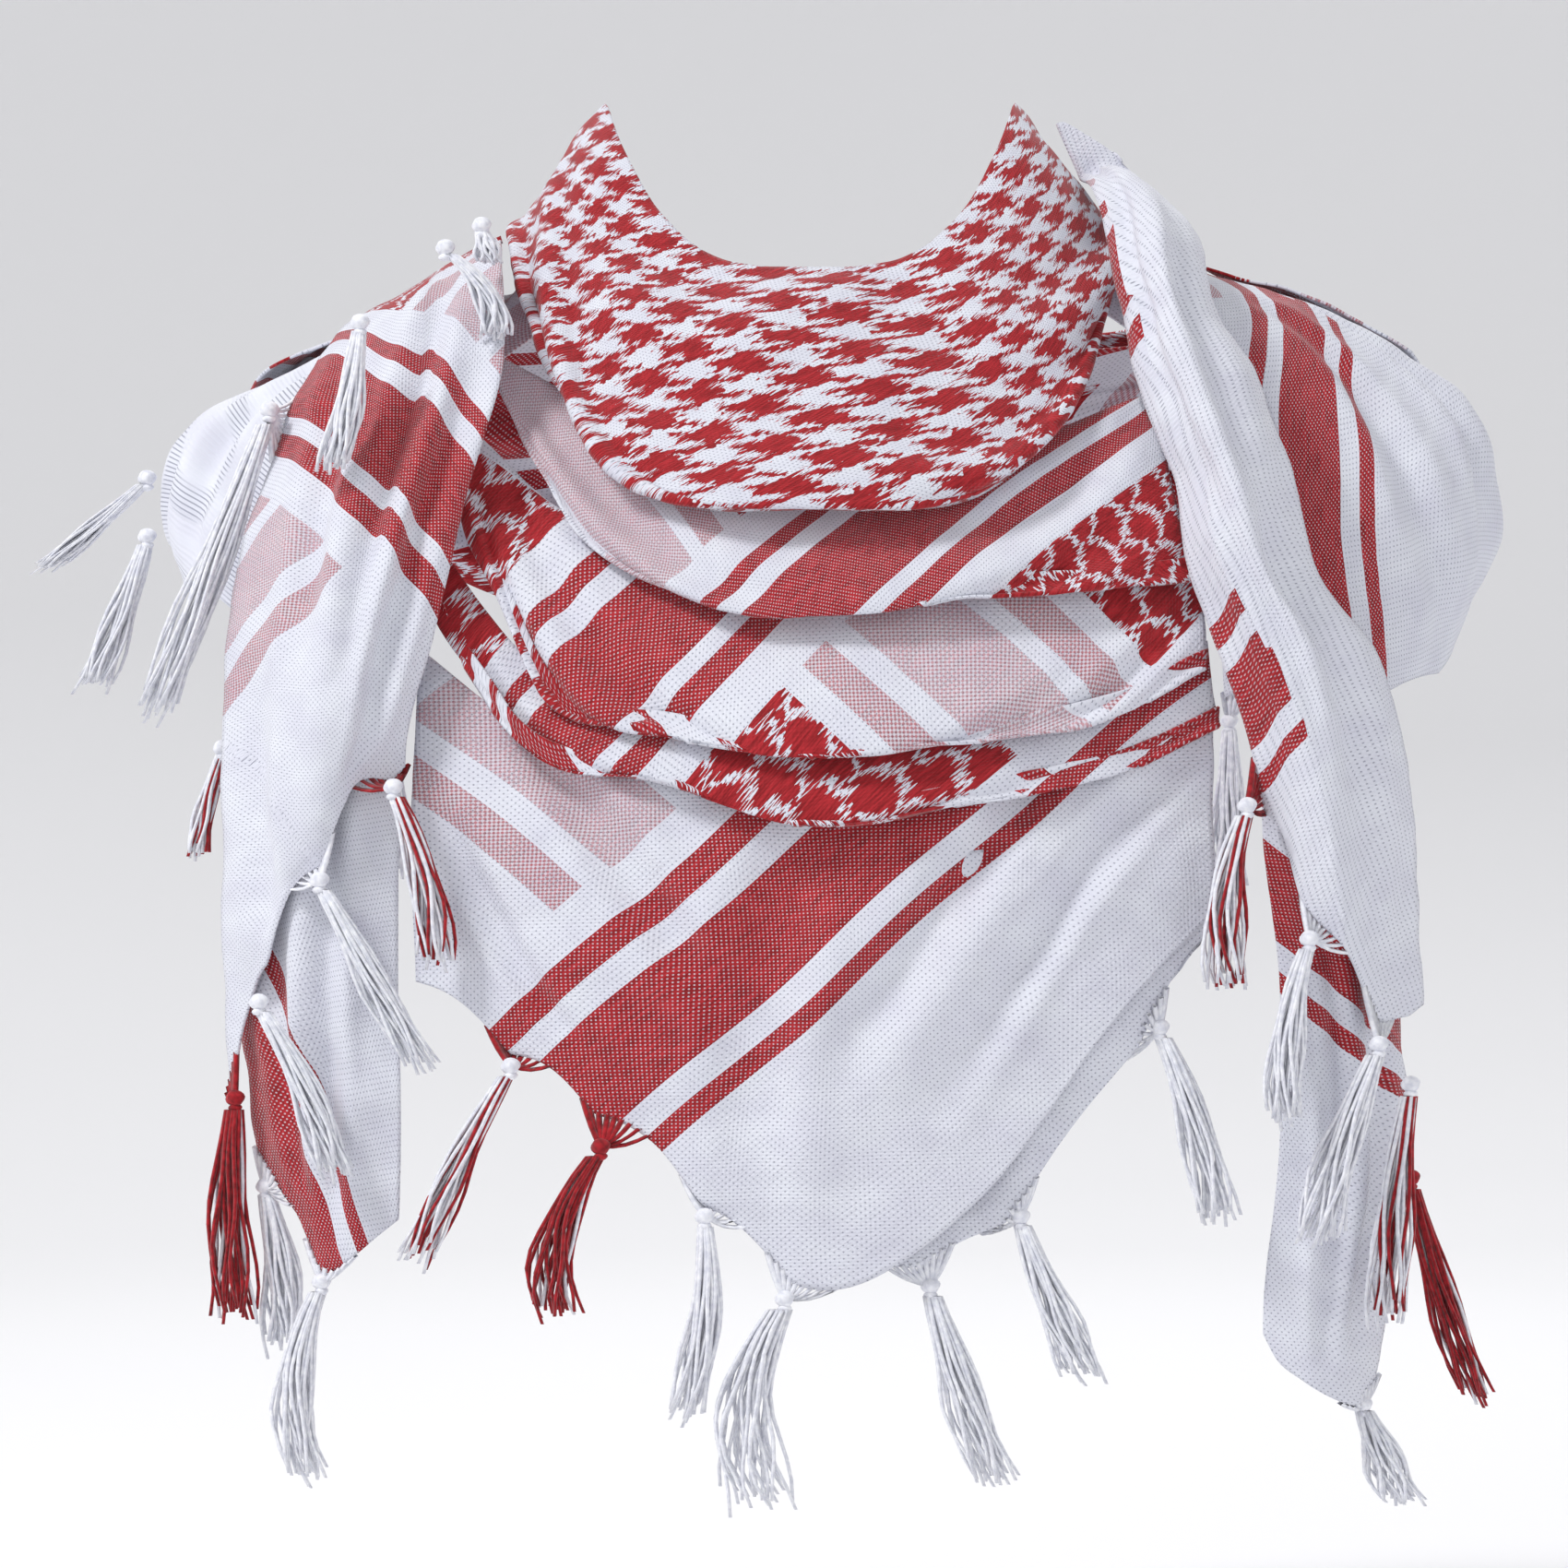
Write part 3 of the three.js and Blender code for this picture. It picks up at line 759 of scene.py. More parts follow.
        fleck_turn = math.tau / (self.fleck_pitch * MM)
        fleck_a = self.node(tree, "ShaderNodeMath", a, fleck_turn, operation="MULTIPLY")
        fleck_b = self.node(tree, "ShaderNodeMath", b, fleck_turn, operation="MULTIPLY")
        wave_a = self.node(tree, "ShaderNodeMath", fleck_a, operation="SINE")
        wave_b = self.node(tree, "ShaderNodeMath", fleck_b, operation="SINE")
        flecks = self.node(tree, "ShaderNodeMath", wave_a, wave_b, operation="MULTIPLY")
        red_fleck = self.node(tree, "ShaderNodeMapRange", flecks, 0.45, 0.75, 1.0, 0.35)
        band_red = self.node(tree, "ShaderNodeMath", bands, red_fleck, operation="MULTIPLY")

        row_dash = self.node(tree, "ShaderNodeMapRange", flecks, -0.25, 0.3, 0.25, 1.0)
        row_red = self.node(tree, "ShaderNodeMath", rows, row_dash, operation="MULTIPLY")
        row_field = self.node(tree, "ShaderNodeMath", row_red, fields, operation="MULTIPLY")

        tooth = self.houndstooth(tree, worn_a, worn_b)
        scale = self.scallops(tree, worn_a, worn_b)
        centre_a = self.node(tree, "ShaderNodeMath", a, 0.43, operation="GREATER_THAN")
        centre_b = self.node(tree, "ShaderNodeMath", b, 0.43, operation="GREATER_THAN")
        centre = self.node(tree, "ShaderNodeMath", centre_a, centre_b, operation="MULTIPLY")
        figure = self.node(tree, "ShaderNodeMix", centre, None, scale, tooth, data_type="FLOAT")
        free = self.node(tree, "ShaderNodeMath", 1.0, gaps, operation="SUBTRACT")
        figured = self.node(tree, "ShaderNodeMath", figure, free, operation="MULTIPLY")
        figure_red = self.node(tree, "ShaderNodeMath", figured, fields, operation="MULTIPLY")

        with_rows = self.node(tree, "ShaderNodeMath", band_red, row_field, operation="MAXIMUM")
        red_share = self.node(
            tree, "ShaderNodeMath", with_rows, figure_red, operation="MAXIMUM", use_clamp=True)

        # Pinholes of the open weave; the mask raises the bump and lays painted shade, a dark grey-blue, in
        # each hole.
        hole_a = self.node(tree, "ShaderNodeMath", a, math.tau / (self.hole_pitch * MM), operation="MULTIPLY")
        hole_b = self.node(tree, "ShaderNodeMath", b, math.tau / (self.hole_pitch * MM), operation="MULTIPLY")
        thread_a = self.node(tree, "ShaderNodeMath", hole_a, operation="SINE")
        thread_b = self.node(tree, "ShaderNodeMath", hole_b, operation="SINE")
        crossing = self.node(tree, "ShaderNodeMath", thread_a, thread_b, operation="MINIMUM")
        holes = self.node(tree, "ShaderNodeMapRange", crossing, 0.35, 0.85, 0.0, 1.0)

        slub_and_shade = self.node(tree, "ShaderNodeTexNoise", cloth, None, 55.0, 4.0, noise_dimensions="2D")
        streaks = self.node(tree, "ShaderNodeMapping", cloth, None, None, (1100.0, 110.0, 1.0))
        satin = self.node(tree, "ShaderNodeTexNoise", streaks, None, 1.0, 2.0, noise_dimensions="2D")

        # Soft random patches of painted shade, a lilac grey, are mixed into the white; the same noise stands
        # in for the yarn's slubs.
        white = self.node(tree, "ShaderNodeMix", slub_and_shade, None, None, None, None, None, linear(self.shade),
                          linear(self.white), data_type="RGBA", output=2)
        # Painted shade in the pinholes, as seen through the weave.
        hole_shade_share = self.node(tree, "ShaderNodeMath", holes, 0.62, operation="MULTIPLY")
        ground = self.node(tree, "ShaderNodeMix", hole_shade_share, None, None, None, None, None, white,
                           linear("#62667c"), data_type="RGBA", output=2)
        # The satin noise streaks the red with painted shade, a darker red; it also gives the floats their
        # height.
        red_shade_share = self.node(tree, "ShaderNodeMapRange", satin, 0.35, 0.65, 0.0, 1.0)
        red = self.node(tree, "ShaderNodeMix", red_shade_share, None, None, None, None, None,
                        linear(self.shaded_red), linear(self.red), data_type="RGBA", output=2)
        colour = self.node(tree, "ShaderNodeMix", red_share, None, None, None, None, None, ground, red,
                           data_type="RGBA", output=2)

        float_height = self.node(tree, "ShaderNodeMath", figure_red, 0.5, satin, operation="MULTIPLY_ADD")
        weave = self.node(tree, "ShaderNodeMath", flecks, 0.35, float_height, operation="MULTIPLY_ADD")
        height = self.node(tree, "ShaderNodeMath", holes, -0.5, weave, operation="MULTIPLY_ADD")
        normal = self.node(tree, "ShaderNodeBump", 0.45, 0.0007, None, height)

        shader = self.node(tree, "ShaderNodeBsdfPrincipled")
        principled = shader.node
        tree.links.new(colour, principled.inputs["Base Color"])
        tree.links.new(normal, principled.inputs["Normal"])
        principled.inputs["Roughness"].default_value = 0.86
        principled.inputs["IOR"].default_value = 1.5
        principled.inputs["Specular IOR Level"].default_value = 0.25
        principled.inputs["Sheen Weight"].default_value = 0.25
        principled.inputs["Sheen Roughness"].default_value = 0.5
        self.node(tree, "ShaderNodeOutputMaterial", shader)
        return made


@dataclass(frozen=True)
class FringeYarn:
    """Loose cotton yarn of the fringe: bright, matt, slightly fuzzy, mottled at random with a darker painted
    shade that stands in for the shade between threads.
    """

    name: str
    light: str
    painted_shade: str

    def material(self, cotton: WovenCotton) -> bpy.types.Material:
        """Make the yarn's material.

        Args:
            cotton: The cloth's finish, whose node function is used.

        Returns:
            The finished material.
        """
        made = bpy.data.materials.new(self.name)
        made.use_nodes = True
        tree = made.node_tree
        tree.nodes.clear()
        coordinates = cotton.node(tree, "ShaderNodeTexCoord", output=3)
        drift = cotton.node(tree, "ShaderNodeTexNoise", coordinates, None, 420.0, 3.0)
        share = cotton.node(tree, "ShaderNodeMapRange", drift, 0.3, 0.7, 0.0, 1.0)
        # The yarn's colour is mixed in random patches with its painted shade, for the shade between threads.
        colour = cotton.node(tree, "ShaderNodeMix", share, None, None, None, None, None, linear(self.painted_shade),
                             linear(self.light), data_type="RGBA", output=2)
        normal = cotton.node(tree, "ShaderNodeBump", 0.4, 0.0005, None, drift)
        shader = cotton.node(tree, "ShaderNodeBsdfPrincipled")
        principled = shader.node
        tree.links.new(colour, principled.inputs["Base Color"])
        tree.links.new(normal, principled.inputs["Normal"])
        principled.inputs["Roughness"].default_value = 0.85
        principled.inputs["IOR"].default_value = 1.5
        principled.inputs["Specular IOR Level"].default_value = 0.25
        principled.inputs["Sheen Weight"].default_value = 0.2
        cotton.node(tree, "ShaderNodeOutputMaterial", shader)
        return made


NAPE_ANGLE = 140.0  # degrees round from the front to a nape tassel
ROOT_REACH = 20.0   # mm, the longest drawn-together thread
ROOT_OFFSETS = (-13.0, -9.0, -5.5, -2.5, 0.0, 2.5, 5.5, 9.0, 13.0)   # mm along the edge


@dataclass
class Tassel:
    """One knotted tassel: a knot, then loose threads that hang and spread."""

    name: str
    x: float
    z: float
    off: float
    bend: float
    tip: float
    down: float
    width: float
    yarn: Yarn
    sheet: str
    threads: int = 26
    knot: float = 3.7   # mm, the knot's radius

    def top(self) -> Vector:
        """Find the knot's place on the figure.

        Returns:
            The place, in mm.
        """
        spot = [np.array([float(value)]) for value in (self.x, self.z, self.off)]
        if self.name.startswith("nape"):
            angle = np.array([math.copysign(NAPE_ANGLE, self.x)])
            return Vector(Figure.around(angle, spot[1], spot[2])[0])
        return Vector(Figure.in_front(*spot)[0])

    def route(self, share: float) -> Vector:
        """Find a point on the tassel's middle line.

        Args:
            share: How far along, from the knot to the tip.

        Returns:
            The point, in mm.
        """
        top = self.top()
        sideways = self.bend * 4 * share * (1 - share) + self.tip * share * (2 * share - 1)
        return Vector((top.x + sideways, top.y, top.z - self.down * share))

    def build(self, finishes: dict[Yarn, bpy.types.Material], sheet: Sheet) -> bpy.types.Object:
        """Build the knot, its roots in the cloth's edge and its threads as one mesh.

        Args:
            finishes: The yarn materials, white first in use and red second.
            sheet: The sheet whose fringe is knotted here.

        Returns:
            The finished tassel.
        """
        mesh = bmesh.new()
        self.add_knot(mesh)
        for number in range(self.threads):
            self.add_thread(mesh, number)
        for number, start in enumerate(sheet.edge_near(self.top(), ROOT_OFFSETS)):
            self.add_root(mesh, start, number)
        data = bpy.data.meshes.new(f"tassel_{self.name}_yarn")
        bmesh.ops.recalc_face_normals(mesh, faces=mesh.faces)
        mesh.to_mesh(data)
        mesh.free()
        data.shade_smooth()
        data.materials.append(finishes[Yarn.WHITE])
        data.materials.append(finishes[Yarn.RED])
        piece = bpy.data.objects.new(f"tassel_{self.name}_yarn", data)
        bpy.context.scene.collection.objects.link(piece)
        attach(piece, BODY)
        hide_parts(f"tassel_{self.name}")
        return piece

    def add_root(self, mesh: bmesh.types.BMesh, start: Vector, number: int) -> None:
        """Add one drawn-together thread from the cloth's edge to the knot.

        Args:
            mesh: The tassel's mesh.
            start: Where the thread leaves the edge, in mm.
            number: The thread's number, which settles its colour.
        """
        end = self.route(0.0) + Vector((0, 0, 1.0))
        inset = (start - end).normalized() * 2.5
        made = bmesh.ops.create_grid(mesh, x_segments=4, y_segments=4, size=0.5)
        for vertex in made["verts"]:
            share = 0.5 - vertex.co.y
            turn = (vertex.co.x + 0.5) * math.tau
            middle = (start + inset).lerp(end, share)
            sag = Vector((0, 0, -1.6 * math.sin(math.pi * share)))
            rim = Vector((math.cos(turn), math.sin(turn) * 0.8, math.sin(turn) * 0.6)) * 1.25
            vertex.co = (middle + sag + rim) * MM
        for face in {face for vertex in made["verts"] for face in vertex.link_faces}:
            face.material_index = 1 if self.thread_is_red(number * 3) else 0
        bmesh.ops.remove_doubles(mesh, verts=made["verts"], dist=1e-6)

    def thread_is_red(self, number: int) -> bool:
        """Say whether a thread is red.

        Args:
            number: The thread's number.

        Returns:
            Whether the tassel's yarn makes it red.
        """
        if self.yarn is Yarn.MIXED:
            return number % 3 == 0
        if self.yarn is Yarn.RED:
            return number % 9 != 4
        return False

    def add_knot(self, mesh: bmesh.types.BMesh) -> None:
        """Add the knot, a twisted lump with a smaller turn of yarn below it.

        Args:
            mesh: The tassel's mesh.
        """
        top = self.route(0.0) + Vector((0, 0, 1.0))
        red = self.yarn is Yarn.RED
        for drop, girth, flat in ((0.0, 1.0, 0.85), (self.knot * 1.0, 0.72, 0.6)):
            made = bmesh.ops.create_uvsphere(mesh, u_segments=14, v_segments=9, radius=self.knot * girth * MM)
            for vertex in made["verts"]:
                twist = math.sin(3 * math.atan2(vertex.co.y, vertex.co.x) + vertex.co.z * 900)
                swell = 1 + 0.09 * twist
                vertex.co = Vector((vertex.co.x * swell, vertex.co.y * swell * 0.9, vertex.co.z * flat))
                vertex.co += (top - Vector((0, 0, drop))) * MM
            for face in {face for vertex in made["verts"] for face in vertex.link_faces}:
                face.material_index = 1 if red else 0

    def add_thread(self, mesh: bmesh.types.BMesh, number: int) -> None:
        """Add one thread as a thin tube, rolled from a grid and moved along its own path.

        Args:
            mesh: The tassel's mesh.
            number: The thread's number, which settles its place, sway and colour.
        """
        sides, steps = 4, 9
        golden = 2.399963
        angle = number * golden
        rank = math.sqrt((number + 0.5) / self.threads)
        phase = number * 1.7 + self.x * 0.3
        length = 0.9 + 0.16 * noise.noise(Vector((number * 0.9, self.x, self.z)))
        made = bmesh.ops.create_grid(mesh, x_segments=sides, y_segments=steps, size=0.5)
        for vertex in made["verts"]:
            share = 0.5 - vertex.co.y
            turn = (vertex.co.x + 0.5) * math.tau
            path = self.route(0.04 + share * length)
            spread = self.width * (0.35 + 0.65 * min(share * 1.6, 1.0)) * rank
            sway = 0.26 * self.width * share * math.sin(phase + share * 8)
            radius = 0.95 * (1 - 0.3 * share)
            offset = Vector((math.cos(angle) * spread + sway, math.sin(angle) * spread * 0.7, 0))
            rim = Vector((math.cos(turn) * radius, math.sin(turn) * radius, 0))
            vertex.co = (path + offset + rim) * MM
        for face in {face for vertex in made["verts"] for face in vertex.link_faces}:
            face.material_index = 1 if self.thread_is_red(number) else 0
        bmesh.ops.remove_doubles(mesh, verts=made["verts"], dist=1e-6)
        rims = [v for v in made["verts"] if v.is_valid]
        edges = {edge for vertex in rims for edge in vertex.link_edges if edge.is_boundary}
        bmesh.ops.holes_fill(mesh, edges=list(edges), sides=sides)


@dataclass
class Studio:
    """A pale floor, soft lights and the camera, level with the middle of the scarf."""

    centre: tuple[float, float, float] = (-0.0102, 0.0, -0.147)
    distance: float = 2.5
    span: float = 0.6198     # metres across the view at the neck's axis
    floor_height: float = -0.52
    floor_reach: float = 6.0
    flat_reach: float = 2.4

    def build(self) -> None:
        """Place the floor, the lights and the camera."""
        self.add_floor()
        self.add_light("key", (-1.7, -1.3, 2.1), 56.0, 0.6)
        self.add_light("fill", (2.2, -1.6, 0.5), 7.0, 1.8)
        self.add_light("rim", (0.4, 2.2, 1.6), 22.0, 1.6)
        world = bpy.data.worlds.new("studio")
        world.use_nodes = True
        background = world.node_tree.nodes["Background"]
        background.inputs["Color"].default_value = (1.0, 1.0, 1.0, 1.0)
        background.inputs["Strength"].default_value = 0.6
        bpy.context.scene.world = world
        bpy.context.scene.view_settings.view_transform = "Standard"
        camera = bpy.data.cameras.new("camera")
        camera.sensor_width = 36.0
        camera.lens = 36.0 * self.distance / self.span
        camera.clip_end = 50.0
        holder = bpy.data.objects.new("camera", camera)
        holder.location = Vector(self.centre) - Vector((0, self.distance, 0))
        holder.rotation_euler = (math.radians(90), 0, 0)
        bpy.context.scene.collection.objects.link(holder)
        bpy.context.scene.camera = holder

    def add_floor(self) -> None:
        """Add the pale floor, well below the scarf, which rises softly far away like a sweep."""
        mesh = bmesh.new()
        bmesh.ops.create_grid(mesh, x_segments=48, y_segments=48, size=self.floor_reach)
        for vertex in mesh.verts:
            beyond = max(0.0, math.hypot(vertex.co.x, vertex.co.y) - self.flat_reach)
            vertex.co.z = self.floor_height + 0.3 * beyond ** 2
        data = bpy.data.meshes.new("floor")
        mesh.to_mesh(data)
        mesh.free()
        data.shade_smooth()
        paint = bpy.data.materials.new("matt_white_floor_paint")
        paint.use_nodes = True
        shader = paint.node_tree.nodes["Principled BSDF"]
        shader.inputs["Base Color"].default_value = linear("#f4f4f6")
        shader.inputs["Roughness"].default_value = 0.9
        data.materials.append(paint)
        floor = bpy.data.objects.new("floor", data)
        bpy.context.scene.collection.objects.link(floor)

    def add_light(self, name: str, place: tuple[float, float, float], watts: float, size: float) -> None:
        """Add one soft area light that faces the scarf.

        Args:
            name: The light's name.
            place: Where it stands, in metres.
            watts: Its power.
            size: Its side, in metres.
        """
        light = bpy.data.lights.new(name, "AREA")
        light.energy = watts
        light.size = size
        holder = bpy.data.objects.new(name, light)
        holder.location = place
        aim = Vector(self.centre) - Vector(place)
        holder.rotation_euler = aim.to_track_quat("-Z", "Y").to_euler()
        bpy.context.scene.collection.objects.link(holder)


@dataclass
class Keffiyeh:
    """The whole scarf: its sheets, their creases and the knotted fringe."""

    cotton: WovenCotton = field(default_factory=WovenCotton)

    def sheets(self) -> list[Sheet]:
        """List every stretch of cloth, from the neck down and round.

        Returns:
            The sheets, not yet built.
        """
        return [
            Sheet("neck_wrap", Side.NECK, (
                (51, 121, 46, 80, 80, 78, 92),
                (40, 112, 38, 88, 88, 88, 98),
                (14, 98, 26, 97, 98, 106, 106),
                (-16, 84, 14, 106, 109, 122, 112),
                (-38, 72, 4, 115, 120, 132, 116),
                (-44, 68, 0, 117, 123, 132, 117),
                (-40, 70, 4, 114, 120, 124, 112)),
                bands=Axis(-58.6, 1.53, 0, 0, 1000), weft=Axis(-101.6, 1.69, 0, 0, 1000),
                flat=(0.62, 0.112), held="gathered",
                creases=(
                    Crease((0.22, 0.95), (0.42, 0.25), 9, 4.7, 6),
                    Crease((0.30, 0.98), (0.50, 0.55), 8, 3.9, -4),
                    Crease((0.46, 0.15), (0.66, 0.40), 12, 3.5, 5),
                    Crease((0.52, 0.98), (0.74, 0.35), 9, 4.3, 6),
                    Crease((0.62, 0.95), (0.78, 0.60), 7, 3.5, 0),
                    Crease((0.05, 0.8), (0.2, 0.3), 9, 5.1, 4),
                    Crease((0.82, 0.8), (0.96, 0.2), 9, 5.1, -4)),
                seed=1.3, roll=5.0),
            Sheet("upper_fold", Side.FRONT, (
                (-121, 126, 18, 2, -17, -29, -25, -10, 2, 2, 6, 3),
                (-121, 134, 10, -20, -40, -52, -47, -32, -18, 4, 16, 8),
                (-119, 141, 4, -40, -66, -72, -66, -56, -50, 6, 24, 11),
                (-118, 145, 0, -53, -81, -84, -77, -73, -70, 6, 25, 11),
                (-117, 145, 2, -49, -75, -78, -71, -67, -64, 2, 18, 7)),
                bands=Axis(124, 1.6, -28, -62, 363), weft=Axis(40, 1.6, -86, -24, 287),
                flat=(0.27, 0.085), rests_on=("middle_fold",),
                creases=(
                    Crease((0.02, 0.55), (0.4, 0.85), 6, 4.3, 4),
                    Crease((0.05, 0.2), (0.45, 0.6), 7, 3.5, 6),
                    Crease((0.62, 0.75), (0.98, 0.35), 7, 4.7, 5),
                    Crease((0.7, 0.35), (1.0, 0.1), 6, 3.5, 3)),
                seed=2.1, roll=4.0),
            Sheet("middle_fold", Side.FRONT, (
                (-132, 147, -8, -40, -64, -70, -65, -60, -56, 1, 5, 1),
                (-134, 149, -18, -66, -92, -98, -92, -84, -76, 4, 18, 4),
                (-135, 150, -32, -94, -120, -124, -118, -106, -92, 7, 28, 8),
                (-134, 150, -45, -114, -131, -138, -132, -121, -104, 7, 29, 8),
                (-133, 150, -41, -108, -124, -131, -125, -114, -98, 2, 22, 4)),
                bands=Axis(128, 1.2, -98, -77, 363), weft=Axis(54, 1.15, 21, -108, 252),
                flat=(0.29, 0.09), rests_on=("lower_fold",),
                creases=(
                    Crease((0.02, 0.4), (0.28, 0.9), 6, 5.7, 3),
                    Crease((0.06, 0.1), (0.4, 0.7), 8, 4.3, 6),
                    Crease((0.5, 0.85), (0.85, 0.45), 8, 4.3, 5),
                    Crease((0.7, 0.8), (0.99, 0.3), 7, 4.7, 4)),
                seed=3.7, roll=4.0),
            Sheet("lower_fold", Side.FRONT, (
                (-143, 151, -54, -98, -114, -120, -116, -106, -92, 1, 10, 1),
                (-145, 153, -66, -118, -134, -144, -138, -126, -112, 4, 22, 4),
                (-145, 155, -80, -133, -148, -164, -154, -142, -125, 6, 25, 6),
                (-144, 154, -76, -127, -141, -156, -147, -135, -119, 3, 19, 3)),
                bands=Axis(121, 1.6, 35, -154, 180), weft=Axis(65, 1.2, -17, -171, 143),
                flat=(0.3, 0.06), rests_on=("front_flap",),
                creases=(
                    Crease((0.05, 0.3), (0.35, 0.8), 6, 3.9, 3),
                    Crease((0.45, 0.75), (0.8, 0.5), 6, 3.5, 3)),
                seed=4.9, roll=4.0),
            Sheet("front_flap", Side.FRONT, (
                (-148, 153, -96, -122, -132, -146, -138, -126, -112, 0, 10, 0),
                (-150, 153, -120, -144, -160, -178, -168, -150, -134, 2, 16, 3),
                (-151, 153, -156, -182, -206, -232, -216, -180, -160, 4, 19, 6),
                (-151, 153, -192, -218, -250, -288, -262, -208, -180, 4, 15, 6),
                (-150, 152, -222, -249, -288, -337, -305, -234, -196, 4, 12, 6)),
                bands=Axis(131, 1.0, 21, -334, 0), weft=Axis(52, 1.0, -60, -288, 0),
                flat=(0.305, 0.18), hem=Hem((0.0, 0.12, 0.225, 0.36, 0.47)),
                creases=(
                    Crease((0.12, 0.05), (0.42, 0.6), 12, 6.5, 8),
                    Crease((0.5, 0.1), (0.42, 0.9), 16, 6.5, 8),
                    Crease((0.8, 0.05), (0.5, 0.6), 12, 6.9, -8),
                    Crease((0.98, 0.15), (0.62, 0.75), 14, 5.7, -6),
                    Crease((0.02, 0.4), (0.2, 0.85), 9, 4.7, 4)),
                seed=5.5),
            Sheet("under_flap", Side.FRONT, (
                (-40, 151, -168, -170, -172, -172, -168, -160, -150, 7, 7, 1),
                (-35, 153, -220, -226, -230, -226, -214, -192, -176, 7, 7, 1),
                (-30, 155, -262, -278, -292, -282, -254, -216, -190, 4, 5, 1),
                (-30, 156, -286, -306, -328, -322, -280, -232, -198, 2, 3, 1)),
                bands=Axis(-125, 1.0, 0, -330, 20), weft=Axis(135, 1.0, 60, -320, 0),
                flat=(0.19, 0.14), hem=Hem((0.38, 0.56, 0.83, 1.0)),
                creases=(Crease((0.6, 0.1), (0.5, 0.9), 12, 4.3, 4),),
                seed=6.2),
            Sheet("left_tail_front", Side.FRONT, (
                (-192, -122, 20, 30, 38, 46, 58, 66, 70, 12, 16, 14),
                (-200, -119, 0, 9, 18, 29, 41, 49, 53, 14, 22, 20),
                (-212, -117, -36, -30, -20, -8, 4, 10, 12, 16, 32, 24),
                (-222, -130, -76, -72, -64, -56, -48, -42, -38, 16, 36, 22),
                (-225, -141, -126, -122, -115, -106, -96, -90, -86, 16, 38, 18),
                (-226, -148, -172, -166, -156, -144, -130, -120, -112, 16, 36, 16),
                (-225, -152, -222, -206, -186, -168, -148, -136, -128, 14, 32, 14),
                (-223, -153, -266, -239, -206, -184, -160, -149, -141, 12, 28, 14)),
                bands=Axis(43, 1.4, -169.5, -64.8, 296.5), weft=Axis(133, 1.6, -181, -83, 57),
                fold_at=171.0,
                flat=(0.1, 0.32), rests_on=("left_shoulder",), hem=Hem((0.02, 0.24, 0.55, 0.93), 9),
                creases=(
                    Crease((0.75, 0.05), (0.6, 0.6), 9, 6.5, 4),
                    Crease((0.2, 0.1), (0.35, 0.55), 8, 5.7, -5),
                    Crease((0.9, 0.25), (0.75, 0.85), 8, 5.7, 3),
                    Crease((0.15, 0.5), (0.3, 0.95), 9, 5.1, 4)),
                seed=7.4),
            Sheet("left_tail_back", Side.FRONT, (
                (-214, -150, -70, -70, -68, -66, -64, -62, -60, 9, 20, 9),
                (-220, -155, -150, -150, -150, -150, -148, -146, -144, 8, 22, 8),
                (-221, -156, -218, -222, -224, -226, -224, -220, -216, 6, 20, 8),
                (-216, -155, -262, -268, -276, -284, -282, -274, -268, 4, 16, 8),
                (-213, -156, -288, -301, -316, -334, -330, -320, -312, 4, 12, 8)),
                bands=Axis(200, 1.6, -213, -257, 123), weft=Axis(100, 1.0, -190, -330, 0),
                flat=(0.08, 0.27), held="hung", hem=Hem((0.0, 0.45, 1.0), 4),
                creases=(
                    Crease((0.6, 0.2), (0.55, 0.95), 8, 6.5, 2),
                    Crease((0.25, 0.4), (0.35, 0.9), 7, 4.7, 2)),
                seed=8.8),
            Sheet("right_tail_front", Side.FRONT, (
                (97, 121, 114, 115, 113, 110, 107, 104, 101, 18, 24, 16),
                (109, 150, 84, 85, 84, 82, 78, 74, 69, 20, 34, 16),
                (116, 155, 46, 46, 46, 45, 43, 40, 36, 20, 40, 20),
                (124, 170, 2, 3, 5, 8, 10, 11, 11, 20, 42, 20),
                (137, 183, -32, -31, -30, -29, -28, -28, -28, 18, 42, 20),
                (143, 194, -70, -69, -68, -67, -67, -67, -68, 16, 40, 18),
                (157, 218, -106, -104, -103, -101, -100, -100, -101, 16, 40, 18),
                (166, 229, -135, -137, -139, -140, -141, -141, -141, 16, 38, 16),
                (169, 234, -150, -160, -172, -180, -188, -190, -188, 16, 36, 14),
                (171, 236, -158, -176, -202, -219, -239, -243, -232, 14, 32, 12)),
                bands=Axis(115, 1.4, 173.6, -121, 123), weft=Axis(25, 1.0, 200, -230, 20),
                hem_line=(0.02, 0.46),
                flat=(0.09, 0.36), rests_on=("right_shoulder",), hem=Hem((0.0, 0.2, 0.68, 1.0), 7),
                creases=(
                    Crease((0.2, 0.05), (0.25, 0.5), 5, 4.3, 2),
                    Crease((0.7, 0.1), (0.65, 0.6), 9, 5.7, 3),
                    Crease((0.85, 0.4), (0.6, 0.95), 9, 6.1, 4),
                    Crease((0.35, 0.45), (0.45, 0.9), 7, 4.3, -2)),
                seed=9.1),
            Sheet("right_tail_back", Side.FRONT, (
                (174, 216, -112, -112, -112, -112, -112, -112, -112, 8, 22, 8),
                (171, 222, -162, -164, -166, -168, -168, -168, -168, 6, 22, 8),
                (178, 228, -224, -226, -228, -230, -230, -230, -230, 6, 20, 6),
                (178, 230, -286, -288, -292, -294, -294, -292, -290, 6, 18, 6),
                (173, 224, -332, -336, -342, -346, -346, -342, -338, 6, 16, 6),
                (172, 218, -356, -368, -376, -382, -385, -384, -376, 6, 14, 6)),
                bands=Axis(50, 1.3, 195, -205, 123), weft=Axis(140, 1.0, 200, -380, 0),
                flat=(0.075, 0.28), held="hung", hem=Hem((0.0, 0.8, 1.0), 3),
                creases=(
